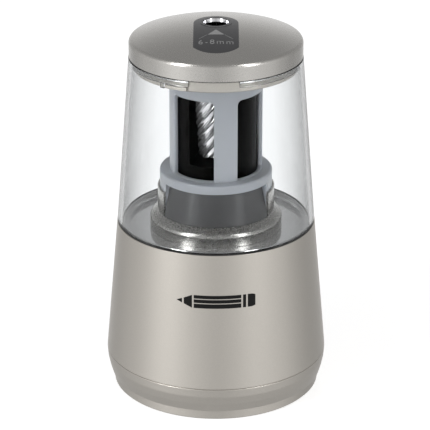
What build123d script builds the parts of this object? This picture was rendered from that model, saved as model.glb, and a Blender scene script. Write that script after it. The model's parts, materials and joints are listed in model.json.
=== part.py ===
"""Desktop electric pencil sharpener with a helical cutter, in millimetres.

The origin is on the table under the middle of the base. +Z is up and -Y is the front.
Azimuths are in degrees from the front, towards +X.
"""
import os
from math import acos, atan, cos, degrees, pi, radians, sin, tan

from build123d import *

# ---- outer shape -------------------------------------------------------------
FOOT_RADIUS, FOOT_HEIGHT, FOOT_CIRCLE = 3.5, 1.8, 31.5
FOOT_ANGLES = (40, 125, 235, 320)
COVER_Z = (0.3, 3.9)
COVER_RADIUS = 36.5
BAND_TOP, BAND_RADIUS = 12.8, 37.3
BODY_RADIUS, SEAM_RADIUS, SEAM_Z = 39.0, 34.67, 61.3
SHELL_WALL = 2.0
BIN_Z = (61.7, 121.2)
BIN_RADIUS = (34.6, 29.95)
BIN_WALL = (1.6, 1.3)
LID_Z, LID_RADIUS, LID_SIDE_TOP = 121.35, 29.84, 125.7
DOME_RADIUS, DOME_Z, DOME_TOP, LID_WALL = 28.7, 127.65, 132.9, 1.5
SLEEVE_RADIUS, SLEEVE_FLANGE, SLEEVE_BOTTOM, FLANGE_SEAT = 5.0, 5.5, 119.2, 132.2
SLEEVE_BORE, MOUTH_RADIUS, MOUTH_DEPTH = 4.1, 4.4, 1.2
PLATE_HALF, PLATE_ARCH_Y, PLATE_BULGE, PLATE_DEPTH = 7.7, -14.34, 9.16, 0.6
BAYONETS, RIB_Z, RIB_RADIUS, RIB_ARC, RIB_START = 3, (118.9, 120.4), 28.05, 85.5, 15.9
STOP_Z, STOP_ARC = (117.3, 120.0), 3.0
SKIRT_Z, SKIRT_RADIUS, SEAT_RADIUS = (117.2, 124.6), 27.9, 28.3
LUG_Z, LUG_RADIUS, LUG_ARC = (117.4, 118.7), 28.8, 16.0
SOCKET_HALF, SOCKET_Z = 4.9, (6.5, 10.3)

# ---- pencil path and cutter --------------------------------------------------
PENCIL_BORE = 4.25
PENCIL_CONE = 9.9
CONE_TOP_Z, CONE_TOP_RADIUS = 109.5, 4.0
CUTTER_RADIUS, CUTTER_ROOT, CUTTER_TEETH, CUTTER_LEAD = 4.5, 3.3, 7, 31.4
CUTTER_SPAN = (-22.6, 0.3)
CUTTER_AZIMUTH = -20
AXLE_RADIUS, RUNNING = 1.2, 0.06
RING_TEETH, PINION_TEETH = 52, 16
RING_Z = (110.4, 114.8)
PINION_FACE = 3.2

# ---- cutter head, cage and pedestal ------------------------------------------
DRUM_RADIUS, DRUM_Z = 14.2, (77.0, 109.8)
CROWN_RADIUS, CROWN_TOP = 12.3, 116.8
NECK_RADIUS, NECK_TOP = 6.5, 118.6
HUB_RADIUS, HUB_BOTTOM = 8.0, 71.3
CAGE_RADIUS, CAGE_BORE, CAGE_TOP = 16.1, 14.6, 117.0
FLANGE_RADIUS, FLANGE_Z, SKIRT_BOTTOM = 19.6, (77.5, 80.6), 66.2
WINDOW_Z, WINDOW_CORNER = (80.9, 109.6), 1.8
STRUT_WIDTH, STRUT_AZIMUTH, STRUTS = 30, 12.5, 4
CAGE_STEP = 15.0
COLLAR_RADIUS, COLLAR_TOP, NOTCH_HALF = 20.4, 74.25, 61.3
PEDESTAL_RADIUS, PEDESTAL_EDGE, PEDESTAL_TOP, PEDESTAL_BORE = 23.1, 63.5, 65.6, 16.3
HOUSING_RADIUS = 17.8
TRAY_Z, TRAY_RIM_TOP, TRAY_RIM = (57.8, 59.35), 61.9, (32.0, 32.6)
WELL_RADIUS = 21.9

# ---- drive -------------------------------------------------------------------
MODULE = 0.5
OUTPUT_TEETH, IDLER_SMALL, IDLER_LARGE, MOTOR_TEETH = 40, 10, 34, 10
SHAFT_RADIUS, SHAFT_Z, ROD_RADIUS, GROOVE_RADIUS = 3.0, (62.6, 82.0), 0.9, 2.6
PIN_RADIUS = 1.0
OUTPUT_Z, STAGE_ONE_Z = (62.8, 66.9), (58.8, 61.3)
PLATE_Z, BEARING_Z = (56.0, 57.8), (68.3, 70.3)
MOTOR_X, MOTOR_RADIUS, MOTOR_Z = 17.0, 12.2, (27.0, 55.9)
CELL_RADIUS, CELL_Z, CELL_OFFSET, STUD = 7.2, (4.0, 54.2), 7.35, 2.7
BAY_X, BAY_Y = (-26.0, 3.4), 14.7
POSTS = ((16, 24.5), (-8, 24.5), (-8, -24.5), (16, -24.5))
POST_RADIUS, WEB_BOTTOM = 3.2, 46.0
MOTOR_SCREWS = (-8, 8)
DOOR_X, DOOR_Y, DOOR_Z = (-28.6, 5.0), 16.6, (0.6, 2.2)
HINGE_Z, HINGE_PIN, HINGE_BARREL = 1.4, 0.6, 1.3

SPHERE_RADIUS = (DOME_RADIUS**2 + (DOME_TOP - DOME_Z) ** 2) / (2 * (DOME_TOP - DOME_Z))
OUTPUT_TO_IDLER = MODULE * (OUTPUT_TEETH + IDLER_SMALL) / 2
IDLER_TO_MOTOR = MODULE * (IDLER_LARGE + MOTOR_TEETH) / 2
IDLER_X = (OUTPUT_TO_IDLER**2 - IDLER_TO_MOTOR**2 + MOTOR_X**2) / (2 * MOTOR_X)
IDLER_Y = (OUTPUT_TO_IDLER**2 - IDLER_X**2) ** 0.5
IDLER = (IDLER_X, IDLER_Y)
PRESSURE = radians(20)


# ---- helpers -----------------------------------------------------------------
def turned(outline, start=0.0, arc=360.0):
    """Revolve an (r, z) outline about Z, from an azimuth over an arc."""
    face = Plane.XZ * make_face(Polyline(*outline, close=True))
    return Rot(0, 0, start - 90) * revolve(face, Axis.Z, arc)


def ring(outer, inner, low, high, centre=(0, 0)):
    """Upright tube, or a plain cylinder where inner is zero."""
    body = Cylinder(outer, high - low)
    if inner:
        body -= Cylinder(inner, high - low + 1)
    return Pos(centre[0], centre[1], (low + high) / 2) * body


def block(x, y, z):
    """Box from low and high values on each axis."""
    size = (x[1] - x[0], y[1] - y[0], z[1] - z[0])
    return Pos((x[0] + x[1]) / 2, (y[0] + y[1]) / 2, (z[0] + z[1]) / 2) * Box(*size)


def gear_face(teeth, pitch_radius, addendum, dedendum, slack, turn=0.0):
    """Involute gear outline with a tooth centred on the turn angle (degrees)."""
    base = pitch_radius * cos(PRESSURE)
    root, tip = pitch_radius - dedendum, pitch_radius + addendum
    half = pi / (2 * teeth) - slack / (2 * pitch_radius)
    flank = []
    for step in range(5):
        radius = max(root, base) + (tip - max(root, base)) * step / 4
        angle = acos(min(1, base / radius))
        flank.append((radius, half + tan(PRESSURE) - PRESSURE - (tan(angle) - angle)))
    if root < base:
        flank.insert(0, (root, flank[0][1]))
    points = []
    for tooth in range(teeth):
        middle = radians(turn) + 2 * pi * tooth / teeth
        for radius, width in flank:
            points.append((radius * cos(middle - width), radius * sin(middle - width)))
        for radius, width in reversed(flank):
            points.append((radius * cos(middle + width), radius * sin(middle + width)))
    return make_face(Polyline(*points, close=True))


def spur(teeth, low, high, centre, turn, bore):
    """Spur gear with stub teeth and a plain bore."""
    face = gear_face(teeth, MODULE * teeth / 2, 0.8 * MODULE, 1.05 * MODULE, 0.14 * MODULE, turn)
    body = Pos(0, 0, low) * extrude(face, high - low)
    return Pos(centre[0], centre[1], 0) * (body - ring(bore, 0, low - 1, high + 1))


def screw(x, y, tip, under_head, head_down, radius=1.0):
    """Pan-head screw; head_down puts the head at the lower end."""
    centre, head = (x, y), 1.9 * radius
    if head_down:
        return ring(radius, 0, under_head, tip, centre) + ring(head, 0, under_head - 1.1, under_head, centre)
    return ring(radius, 0, tip, under_head, centre) + ring(head, 0, under_head, under_head + 0.7, centre)


def along_hinge(radius, length):
    """Cylinder on the battery door's hinge line."""
    return Pos(DOOR_X[0], 0, HINGE_Z) * Rot(90, 0, 0) * Cylinder(radius, length)


def foot_spots():
    """Centres of the feet."""
    return [(FOOT_CIRCLE * cos(radians(angle)), FOOT_CIRCLE * sin(radians(angle))) for angle in FOOT_ANGLES]


def bearing_to(start, end):
    """Direction from one XY point to another, in degrees."""
    line = Vector(end[0] - start[0], end[1] - start[1], 0)
    return degrees(acos(line.X / line.length)) * (1 if line.Y >= 0 else -1)


# ---- cutter axis -------------------------------------------------------------
CONE = radians(PENCIL_CONE)
TIP_Z = CONE_TOP_Z - CONE_TOP_RADIUS / tan(CONE)
AXIS_RADIUS = CONE_TOP_RADIUS + CUTTER_RADIUS / cos(CONE)
APEX_Z = CONE_TOP_Z - AXIS_RADIUS / tan(CONE)
OUTWARD = Vector(sin(radians(CUTTER_AZIMUTH)), -cos(radians(CUTTER_AZIMUTH)), 0)
UPWARD = Vector(0, 0, 1)
CUTTER_PLANE = Plane(
    origin=OUTWARD * AXIS_RADIUS + UPWARD * CONE_TOP_Z,
    x_dir=OUTWARD * cos(CONE) - UPWARD * sin(CONE),
    z_dir=OUTWARD * sin(CONE) + UPWARD * cos(CONE),
)
TOOTH_RATIO = PINION_TEETH / RING_TEETH
PINION_CONE = atan(TOOTH_RATIO * sin(CONE) / (1 - TOOTH_RATIO * cos(CONE)))
RING_MIDDLE = (RING_Z[0] + RING_Z[1]) / 2
CONE_LENGTH = (RING_MIDDLE - APEX_Z) / cos(PINION_CONE + CONE)
PINION_MIDDLE = CONE_LENGTH * cos(PINION_CONE) - AXIS_RADIUS / sin(CONE)


def on_cutter_axis(shape):
    """Move a shape drawn along Z onto the leaning cutter axis."""
    return CUTTER_PLANE.location * shape


# ---- base --------------------------------------------------------------------
def base_cover():
    low, high = COVER_Z
    disc = turned([(0, low), (COVER_RADIUS - 0.4, low), (COVER_RADIUS, low + 0.4),
                   (COVER_RADIUS, high), (0, high)])
    disc -= block((DOOR_X[0], DOOR_X[1] + 0.2), (-DOOR_Y - 0.2, DOOR_Y + 0.2), (0, 5))
    disc -= along_hinge(HINGE_BARREL + 0.4, 2 * DOOR_Y + 0.4) + along_hinge(HINGE_PIN, 2 * DOOR_Y + 4)
    for spot in foot_spots():
        disc -= ring(FOOT_RADIUS, 0, 0, FOOT_HEIGHT, spot)
    for x, y in POSTS:
        disc -= ring(1.1, 0, 0, 5, (x, y)) + ring(2.2, 0, 0, 1.9, (x, y))
    return disc


def rubber_feet():
    return Compound([ring(FOOT_RADIUS, 0, 0, FOOT_HEIGHT, spot) for spot in foot_spots()])


def base_band():
    low = COVER_Z[1]
    wall = [(BAND_RADIUS, low), (BAND_RADIUS + 0.9, low + 3), (BODY_RADIUS - 0.2, BAND_TOP - 3),
            (BODY_RADIUS, BAND_TOP - 0.3), (BODY_RADIUS - 0.3, BAND_TOP),
            (BODY_RADIUS - 2.3, BAND_TOP), (BAND_RADIUS - 2.2, low)]
    half = SOCKET_HALF + 0.2
    return turned(wall) - block((-half, half), (30, 42), (SOCKET_Z[0] - 0.2, SOCKET_Z[1] + 0.2))


def body_shell():
    low, high = BAND_TOP, SEAM_Z
    return turned([(BODY_RADIUS - 0.3, low), (BODY_RADIUS, low + 0.3), (SEAM_RADIUS, high),
                   (SEAM_RADIUS - SHELL_WALL, high), (BODY_RADIUS - SHELL_WALL - 0.3, low)])


def seam_gasket():
    return ring(SEAM_RADIUS - 0.25, SEAM_RADIUS - 1.6, SEAM_Z, SEAM_Z + 0.35)


def chassis():
    low, high = 5.2, PLATE_Z[0]
    wall = 1.2
    body = ring(31.5, 0, high - 1.4, high)
    body += block((BAY_X[0] - wall, BAY_X[1] + wall), (-BAY_Y - wall, BAY_Y + wall), (low, high))
    body += ring(MOTOR_RADIUS + 1.2, 0, MOTOR_Z[0] + 3, high, (MOTOR_X, 0))
    for x, y in POSTS:
        body += ring(POST_RADIUS, 0, COVER_Z[1], high, (x, y))
        body += block((x - 0.8, x + 0.8), sorted((0, y)), (WEB_BOTTOM, high))
    body -= block(BAY_X, (-BAY_Y, BAY_Y), (0, high - 1.4))
    body -= ring(MOTOR_RADIUS + 0.05, 0, 0, high + 1, (MOTOR_X, 0))
    for x, y in POSTS:
        body -= ring(0.9, 0, 0, 20, (x, y))
    return body


def base_screws():
    return Compound([screw(x, y, 15.0, 1.9, True, 0.9) for x, y in POSTS])


# ---- power -------------------------------------------------------------------
def cell_spots():
    middle = (BAY_X[0] + BAY_X[1]) / 2
    return [(middle + sx * CELL_OFFSET, sy * CELL_OFFSET, sx * sy) for sx in (-1, 1) for sy in (-1, 1)]


def battery_cells():
    low, high = CELL_Z
    cells = []
    for x, y, up in cell_spots():
        shift = 0 if up > 0 else 1
        can = ring(CELL_RADIUS, 0, low + shift, high - 1 + shift, (x, y))
        stud_low = high - 1 if up > 0 else low
        cells.append(can + ring(STUD, 0, stud_low, stud_low + 1, (x, y)))
    return Compound(cells)


def upper_contacts():
    level = (CELL_Z[1] + 0.05, PLATE_Z[0] - 1.4)
    return Compound([block((x - 4.5, x + 4.5), (y - 5, y + 5), level) for x, y, _ in cell_spots()])


def coil_spring(radius, wire, low, high, turns):
    """Spring with its wire ends left open, standing between two heights."""
    path = Helix((high - low - 2 * wire) / turns, high - low - 2 * wire, radius)
    profile = Plane(origin=path @ 0, z_dir=path % 0) * Circle(wire)
    return Pos(0, 0, low + wire) * sweep(profile, path, is_frenet=True)


def contact_springs():
    spring = coil_spring(3.2, 0.3, DOOR_Z[1] + 0.05, CELL_Z[0] - 0.05, 1.5)
    return Compound([Pos(x, y, 0) * spring for x, y, _ in cell_spots()])


def battery_door():
    hinge_x = DOOR_X[0]
    plate = block((hinge_x + 0.2, DOOR_X[1]), (-DOOR_Y, DOOR_Y), DOOR_Z)
    barrel = along_hinge(HINGE_BARREL, 2 * DOOR_Y - 2)
    plate += barrel & block((hinge_x - 2, hinge_x + 2), (-20, 20), (DOOR_Z[0], 3))
    plate -= along_hinge(HINGE_PIN + RUNNING, 2 * DOOR_Y + 2)
    plate -= block((DOOR_X[1] - 3.2, DOOR_X[1] - 1.6), (-4, 4), (0.5, 1.2))
    return plate


def door_hinge_pin():
    return along_hinge(HINGE_PIN, 2 * DOOR_Y + 3.6)


def power_socket():
    low, high = SOCKET_Z
    shell = block((-SOCKET_HALF, SOCKET_HALF), (28.5, 37.0), SOCKET_Z)
    mouth = block((0.45 - SOCKET_HALF, SOCKET_HALF - 0.45), (30, 38), (low + 0.4, high - 0.4))
    tongue = block((-3.3, 3.3), (29, 36), (8.05, 8.75))
    return shell - mouth + tongue


def control_board():
    return block((-14, 14), (18.4, 20.0), (15, 45))


def board_components():
    capacitor = ring(2.7, 0, 20.5, 31.5, (7, 22.75))
    relay = block((-4, 3.5), (20.0, 24.0), (31, 41))
    driver = block((-4, 1), (20.0, 21.6), (19, 25))
    return Compound([capacitor, relay, driver])


# ---- motor and gears ---------------------------------------------------------
def motor_can():
    low, high = MOTOR_Z
    at = (MOTOR_X, 0)
    can = ring(MOTOR_RADIUS, 0, low, high, at) - ring(MOTOR_RADIUS - 1, 0, low - 1, high - 1.2, at)
    can += ring(3.0, 0, high, PLATE_Z[1] - 0.4, at)
    can -= ring(PIN_RADIUS + RUNNING, 0, low, PLATE_Z[1], at)
    for y in MOTOR_SCREWS:
        can -= ring(0.9, 0, high - 2, high + 1, (MOTOR_X, y))
    return can


def motor_end_cap():
    low = MOTOR_Z[0]
    cap = ring(MOTOR_RADIUS - 0.2, 0, low - 2.4, low, (MOTOR_X, 0))
    cap += ring(3.5, 0, low - 3.4, low - 2.4, (MOTOR_X, 0))
    return cap - ring(PIN_RADIUS + RUNNING, 0, low - 5, low + 1, (MOTOR_X, 0))


def motor_magnets():
    arcs = []
    for start in (20, 200):
        arcs.append(Pos(MOTOR_X, 0, 0) * turned([(9.2, 29), (11.2, 29), (11.2, 53), (9.2, 53)], start, 140))
    return Compound(arcs)


def motor_armature():
    core = ring(8.6, PIN_RADIUS, 32, 50, (MOTOR_X, 0)) + ring(3.2, PIN_RADIUS, 28.2, 32, (MOTOR_X, 0))
    for index in range(5):
        slot = Rot(0, 0, 72 * index) * block((4.5, 9), (-0.9, 0.9), (31.9, 51))
        core -= Pos(MOTOR_X, 0, 0) * slot
    return core


def motor_shaft():
    return ring(PIN_RADIUS, 0, MOTOR_Z[0] - 3.0, STAGE_ONE_Z[1] + 0.3, (MOTOR_X, 0))


def motor_pinion():
    low, high = STAGE_ONE_Z
    to_idler = bearing_to((MOTOR_X, 0), IDLER)
    return spur(MOTOR_TEETH, low - 0.2, high + 0.3, (MOTOR_X, 0), to_idler, PIN_RADIUS)


def idler_gear():
    low, high = STAGE_ONE_Z
    large_turn = bearing_to(IDLER, (MOTOR_X, 0)) + 180 / IDLER_LARGE
    small_turn = bearing_to(IDLER, (0, 0)) + 180 / IDLER_SMALL
    bore = PIN_RADIUS + RUNNING
    gear = spur(IDLER_LARGE, low, high, IDLER, large_turn, bore)
    gear += spur(IDLER_SMALL, high, OUTPUT_Z[1] + 0.4, IDLER, small_turn, bore)
    return gear + ring(2.4, bore, low - 0.8, low, IDLER)


def idler_axle():
    return ring(PIN_RADIUS, 0, PLATE_Z[0], BEARING_Z[1], IDLER)


def motor_plate():
    plate = ring(23.0, 0, *PLATE_Z)
    plate -= ring(3.0, 0, 50, 60, (MOTOR_X, 0)) + ring(PIN_RADIUS, 0, 50, 60, IDLER)
    for y in MOTOR_SCREWS:
        plate -= ring(1.0, 0, 50, 60, (MOTOR_X, y))
    return plate


def motor_screws():
    return Compound([screw(MOTOR_X, y, MOTOR_Z[1] - 1, PLATE_Z[1], False, 0.85) for y in MOTOR_SCREWS])


def output_gear():
    return spur(OUTPUT_TEETH, *OUTPUT_Z, (0, 0), bearing_to((0, 0), IDLER), SHAFT_RADIUS)


def drive_shaft():
    shaft = ring(SHAFT_RADIUS, ROD_RADIUS + 0.1, *SHAFT_Z)
    return shaft - ring(SHAFT_RADIUS + 1, GROOVE_RADIUS, OUTPUT_Z[1] + 0.05, OUTPUT_Z[1] + 0.6)


def shaft_clip():
    clip = ring(4.6, GROOVE_RADIUS, OUTPUT_Z[1] + 0.05, OUTPUT_Z[1] + 0.6)
    return clip - block((-1.6, 1.6), (0, 6), (60, 70))


def shaft_bearing():
    low, high = BEARING_Z
    bush = ring(5.0, 0, low - 0.7, high) + ring(6.5, 0, high, high + 0.9)
    return bush - ring(SHAFT_RADIUS + RUNNING, 0, 60, 80)


def bearing_plate():
    return ring(PEDESTAL_BORE - 0.05, 5.0, *BEARING_Z) - ring(PIN_RADIUS, 0, 60, 80, IDLER)


# ---- start switch ------------------------------------------------------------
def start_switch():
    return block((-7, 1.6), (-3, 3), (PLATE_Z[1], 60.4)) - ring(1.4 + RUNNING, 0, 58.8, 62)


def switch_plunger():
    return ring(1.4, 0, 60.0, 61.4)


def trigger_rod():
    return ring(ROD_RADIUS, 0, 61.4, 85.4) + ring(1.6, 0, 85.4, 86.2)


# ---- tray, pedestal and housing ----------------------------------------------
def chip_tray():
    low, high = TRAY_Z
    return turned([(WELL_RADIUS, low), (TRAY_RIM[1] - 0.3, low), (TRAY_RIM[1], low + 0.4),
                   (TRAY_RIM[1], TRAY_RIM_TOP), (TRAY_RIM[0], TRAY_RIM_TOP), (TRAY_RIM[0], high),
                   (WELL_RADIUS, high)])


def pedestal():
    low = TRAY_Z[1]
    outer = [(PEDESTAL_RADIUS, low), (PEDESTAL_RADIUS, PEDESTAL_EDGE - 0.4),
             (PEDESTAL_RADIUS - 0.4, PEDESTAL_EDGE), (COLLAR_RADIUS, PEDESTAL_TOP)]
    inner = [(PEDESTAL_BORE, PEDESTAL_TOP), (PEDESTAL_BORE, PEDESTAL_TOP - 1.4),
             (WELL_RADIUS, PEDESTAL_EDGE - 1.3), (WELL_RADIUS, low)]
    return turned(outer + inner)


def collar():
    start, inner = NOTCH_HALF + 0.7, FLANGE_RADIUS + 0.05
    wall = [(COLLAR_RADIUS, PEDESTAL_TOP), (COLLAR_RADIUS, COLLAR_TOP - 0.3),
            (COLLAR_RADIUS - 0.3, COLLAR_TOP), (inner, COLLAR_TOP), (inner, PEDESTAL_TOP)]
    return turned(wall, start, 360 - 2 * start)


def gear_housing():
    low, high = PEDESTAL_TOP, FLANGE_Z[0]
    bore, ledge = PEDESTAL_BORE, PEDESTAL_BORE - 0.7
    seat = BEARING_Z[0]
    wall = turned([(HOUSING_RADIUS, low), (HOUSING_RADIUS, high), (bore, high), (bore, seat), (ledge, seat),
                   (ledge, seat - 0.9), (bore, seat - 0.9), (bore, low)])
    back = HOUSING_RADIUS - 0.8
    front = [(back, low), (COLLAR_RADIUS - 0.1, low), (HOUSING_RADIUS + 0.05, high), (back, high)]
    return wall + turned(front, -NOTCH_HALF, 2 * NOTCH_HALF)


# ---- cage --------------------------------------------------------------------
def cage_window(azimuth):
    low, high = WINDOW_Z
    width = 360 / STRUTS - STRUT_WIDTH
    tool = turned([(12, low), (18, low), (18, high), (12, high)], azimuth - width / 2, width)
    corners = []
    for edge in tool.edges().filter_by(GeomType.LINE):
        if min(edge.position_at(0).Z, edge.position_at(1).Z) > high - 0.01:
            corners.append(edge)
    return fillet(corners, WINDOW_CORNER)


def cutter_cage():
    under, top = FLANGE_Z
    outline = [(FLANGE_RADIUS, SKIRT_BOTTOM), (FLANGE_RADIUS, top - 0.8), (FLANGE_RADIUS - 0.25, top - 0.25),
               (FLANGE_RADIUS - 0.8, top), (CAGE_RADIUS, top), (CAGE_RADIUS, CAGE_TOP),
               (CAGE_STEP, CAGE_TOP), (CAGE_STEP, RING_Z[0]), (CAGE_BORE, RING_Z[0]), (CAGE_BORE, under),
               (FLANGE_RADIUS - 1.5, under), (FLANGE_RADIUS - 1.5, SKIRT_BOTTOM)]
    cage = turned(outline)
    for index in range(STRUTS):
        cage -= cage_window(STRUT_AZIMUTH + 360 / STRUTS * (index + 0.5))
    notch = NOTCH_HALF + 0.4
    return cage - turned([(17.5, 60), (21, 60), (21, under), (17.5, under)], -notch, 2 * notch)


def cage_cap():
    return ring(CAGE_RADIUS - 0.2, NECK_RADIUS + RUNNING, CAGE_TOP, CAGE_TOP + 1.2)


def ring_gear():
    pitch = CONE_LENGTH * sin(PINION_CONE + CONE)
    module = 2 * pitch / RING_TEETH
    sections = []
    for height in (RING_Z[0] - 0.5, RING_Z[1] + 0.5):
        scale_by = (height - APEX_Z) / (RING_MIDDLE - APEX_Z)
        face = gear_face(RING_TEETH, pitch * scale_by, 1.05 * module * scale_by, 0.8 * module * scale_by,
                         -0.16 * module, CUTTER_AZIMUTH - 90)
        sections.append(Pos(0, 0, height) * face)
    return ring(CAGE_STEP, 0, *RING_Z) - loft(sections, ruled=True)


# ---- cutter head -------------------------------------------------------------
def cutter_carrier():
    body = ring(HUB_RADIUS, 0, HUB_BOTTOM, DRUM_Z[0]) + ring(DRUM_RADIUS, 0, *DRUM_Z)
    body += ring(CROWN_RADIUS, 0, DRUM_Z[1], CROWN_TOP) + ring(NECK_RADIUS, 0, CROWN_TOP, NECK_TOP)
    bore_top = TIP_Z + PENCIL_BORE / tan(CONE)
    body -= turned([(0, 84.1), (1.9, 84.1), (1.9, 87.2), (PENCIL_BORE, bore_top), (PENCIL_BORE, 120),
                    (0, 120)])
    body -= ring(ROD_RADIUS + 0.1, 0, 70, 85) + ring(SHAFT_RADIUS, 0, 70, SHAFT_Z[1])
    pocket = CUTTER_RADIUS + 0.25
    low, high = CUTTER_SPAN[0] - 0.3, PINION_MIDDLE + PINION_FACE / 2 + 0.3
    body -= on_cutter_axis(ring(pocket, 0, low, high) + block((0, 12), (-pocket, pocket), (low, high)))
    body -= on_cutter_axis(ring(AXLE_RADIUS + RUNNING, 0, low - 3.9, high + 2))
    return body


def helical_cutter():
    points = []
    pitch = 360 / CUTTER_TEETH
    for tooth in range(CUTTER_TEETH):
        for radius, turn in ((CUTTER_RADIUS, 0), (CUTTER_RADIUS, 9), (CUTTER_ROOT, 20), (CUTTER_ROOT, 38)):
            angle = radians(tooth * pitch + turn)
            points.append((radius * cos(angle), radius * sin(angle)))
    low, high = CUTTER_SPAN
    section = make_face(Polyline(*points, close=True)).face()
    twist = 360 * (high - low) / CUTTER_LEAD
    body = Solid.extrude_linear_with_rotation(section, (0, 0, 0), (0, 0, high - low), twist)
    body = Pos(0, 0, low) * body
    return on_cutter_axis(body - ring(AXLE_RADIUS, 0, low - 1, high + 1))


def cutter_axle():
    return on_cutter_axis(ring(AXLE_RADIUS, 0, CUTTER_SPAN[0] - 4, PINION_MIDDLE + PINION_FACE / 2 + 1.7))


def cutter_pinion():
    pitch = CONE_LENGTH * sin(PINION_CONE)
    module = 2 * pitch / PINION_TEETH
    sections = []
    for offset in (-PINION_FACE / 2, PINION_FACE / 2):
        scale_by = 1 + offset / (CONE_LENGTH * cos(PINION_CONE))
        face = gear_face(PINION_TEETH, pitch * scale_by, 0.8 * module * scale_by, 1.05 * module * scale_by,
                         0.16 * module)
        sections.append(Pos(0, 0, PINION_MIDDLE + offset) * face)
    gear = loft(sections, ruled=True)
    gear += ring(2.3, 0, CUTTER_SPAN[1], PINION_MIDDLE - PINION_FACE / 2)
    return on_cutter_axis(gear - ring(AXLE_RADIUS, 0, -1, 12))


# ---- bin and lid -------------------------------------------------------------
def bin_inner(z):
    """Inner radius of the bin at a height."""
    part = (z - BIN_Z[0]) / (BIN_Z[1] - BIN_Z[0])
    low, high = (BIN_RADIUS[side] - BIN_WALL[side] for side in (0, 1))
    return low + (high - low) * part


def chip_container():
    low, high = BIN_Z
    body = turned([(BIN_RADIUS[0], low), (BIN_RADIUS[1], high - 0.3), (BIN_RADIUS[1] - 0.3, high),
                   (bin_inner(high) + 0.3, high), (bin_inner(high), high - 0.3), (bin_inner(low), low)])
    rib = [(RIB_RADIUS, RIB_Z[0]), (bin_inner(RIB_Z[0]) + 0.3, RIB_Z[0]),
           (bin_inner(RIB_Z[1]) + 0.3, RIB_Z[1]), (RIB_RADIUS, RIB_Z[1])]
    stop = [(RIB_RADIUS, STOP_Z[0]), (bin_inner(STOP_Z[0]) + 0.3, STOP_Z[0]),
            (bin_inner(STOP_Z[1]) + 0.3, STOP_Z[1]), (RIB_RADIUS, STOP_Z[1])]
    for index in range(BAYONETS):
        start = RIB_START + 360 / BAYONETS * index
        body += turned(rib, start, RIB_ARC)
        body += turned(stop, start + RIB_ARC - LUG_ARC - 1.5 * STOP_ARC, STOP_ARC)
    return body


def dome_solid(inset):
    """Solid under the domed lid surface, drawn in by a wall thickness."""
    side, edge = LID_RADIUS - inset, DOME_RADIUS - inset
    top, edge_z = DOME_TOP - inset, DOME_Z - inset
    low = LID_Z - (1 if inset else 0)
    middle = (edge + 0.38 * (side - edge) * 2, (edge_z + LID_SIDE_TOP - inset) / 2 + 0.32)
    profile = Polyline((0, top), (0, low), (side, low), (side, LID_SIDE_TOP - inset))
    rounding = ThreePointArc((side, LID_SIDE_TOP - inset), middle, (edge, edge_z))
    half = edge / 2
    rise = SPHERE_RADIUS - (SPHERE_RADIUS**2 - half**2) ** 0.5
    crown = ThreePointArc((edge, edge_z), (half, top - rise), (0, top))
    return revolve(Plane.XZ * make_face([profile, rounding, crown]), Axis.Z, 360)


def plate_layer(gap, above):
    """Layer of the dome inside the plate's outline, from PLATE_DEPTH below the dome to a height above it.

    The outline is a half circle round the hole, straight sides and an arched front, drawn in by a gap.
    """
    half, bulge = PLATE_HALF - gap, PLATE_BULGE - gap
    outline = Circle(half) + Pos(0, PLATE_ARCH_Y / 2) * Rectangle(2 * half, -PLATE_ARCH_Y)
    tongue = Pos(0, PLATE_ARCH_Y - 5) * Rectangle(2 * half, 10)
    outline += tongue & Pos(0, PLATE_ARCH_Y) * Circle(bulge)
    layer = Sphere(SPHERE_RADIUS + above) - Sphere(SPHERE_RADIUS - PLATE_DEPTH)
    return (Pos(0, 0, DOME_Z) * extrude(outline, 10)) & (Pos(0, 0, DOME_TOP - SPHERE_RADIUS) * layer)


def lid_shell():
    body = dome_solid(0) - dome_solid(LID_WALL) - plate_layer(0, 1)
    return body - ring(SLEEVE_RADIUS, 0, 120, 140) - ring(SLEEVE_FLANGE, 0, FLANGE_SEAT, 135)


def label_plate():
    return plate_layer(0.04, 0) - ring(SLEEVE_FLANGE, 0, 120, 140)


def guide_sleeve():
    top = DOME_TOP + 0.05
    return turned([(SLEEVE_BORE, SLEEVE_BOTTOM), (SLEEVE_RADIUS, SLEEVE_BOTTOM),
                   (SLEEVE_RADIUS, FLANGE_SEAT), (SLEEVE_FLANGE, FLANGE_SEAT), (SLEEVE_FLANGE, top),
                   (MOUTH_RADIUS, top), (SLEEVE_BORE, top - MOUTH_DEPTH)])


def lid_ring():
    low, high = SKIRT_Z
    inner = SKIRT_RADIUS - 1
    body = turned([(inner, low), (SKIRT_RADIUS, low), (SKIRT_RADIUS, LID_Z + 0.3),
                   (SEAT_RADIUS, LID_Z + 0.6), (SEAT_RADIUS, high), (inner, high)])
    lug = [(inner + 0.5, LUG_Z[0]), (LUG_RADIUS, LUG_Z[0]), (LUG_RADIUS, LUG_Z[1]), (inner + 0.5, LUG_Z[1])]
    for index in range(BAYONETS):
        body += turned(lug, RIB_START + RIB_ARC - LUG_ARC - 1 + 360 / BAYONETS * index, LUG_ARC)
    return body


NODES = (
    base_cover, rubber_feet, base_band, body_shell, seam_gasket, chassis, base_screws, battery_cells,
    upper_contacts, contact_springs, battery_door, door_hinge_pin, power_socket, control_board,
    board_components, motor_can, motor_end_cap, motor_magnets, motor_armature, motor_shaft, motor_pinion,
    idler_gear, idler_axle, motor_plate, motor_screws, output_gear, drive_shaft, shaft_clip, shaft_bearing,
    bearing_plate, start_switch, switch_plunger, trigger_rod, chip_tray, pedestal, collar, gear_housing,
    cutter_cage, cage_cap, ring_gear, cutter_carrier, helical_cutter, cutter_axle, cutter_pinion,
    chip_container, lid_shell, label_plate, guide_sleeve, lid_ring,
)

os.makedirs("parts", exist_ok=True)
for make in NODES:
    export_step(make(), f"parts/{make.__name__}.step")
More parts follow.
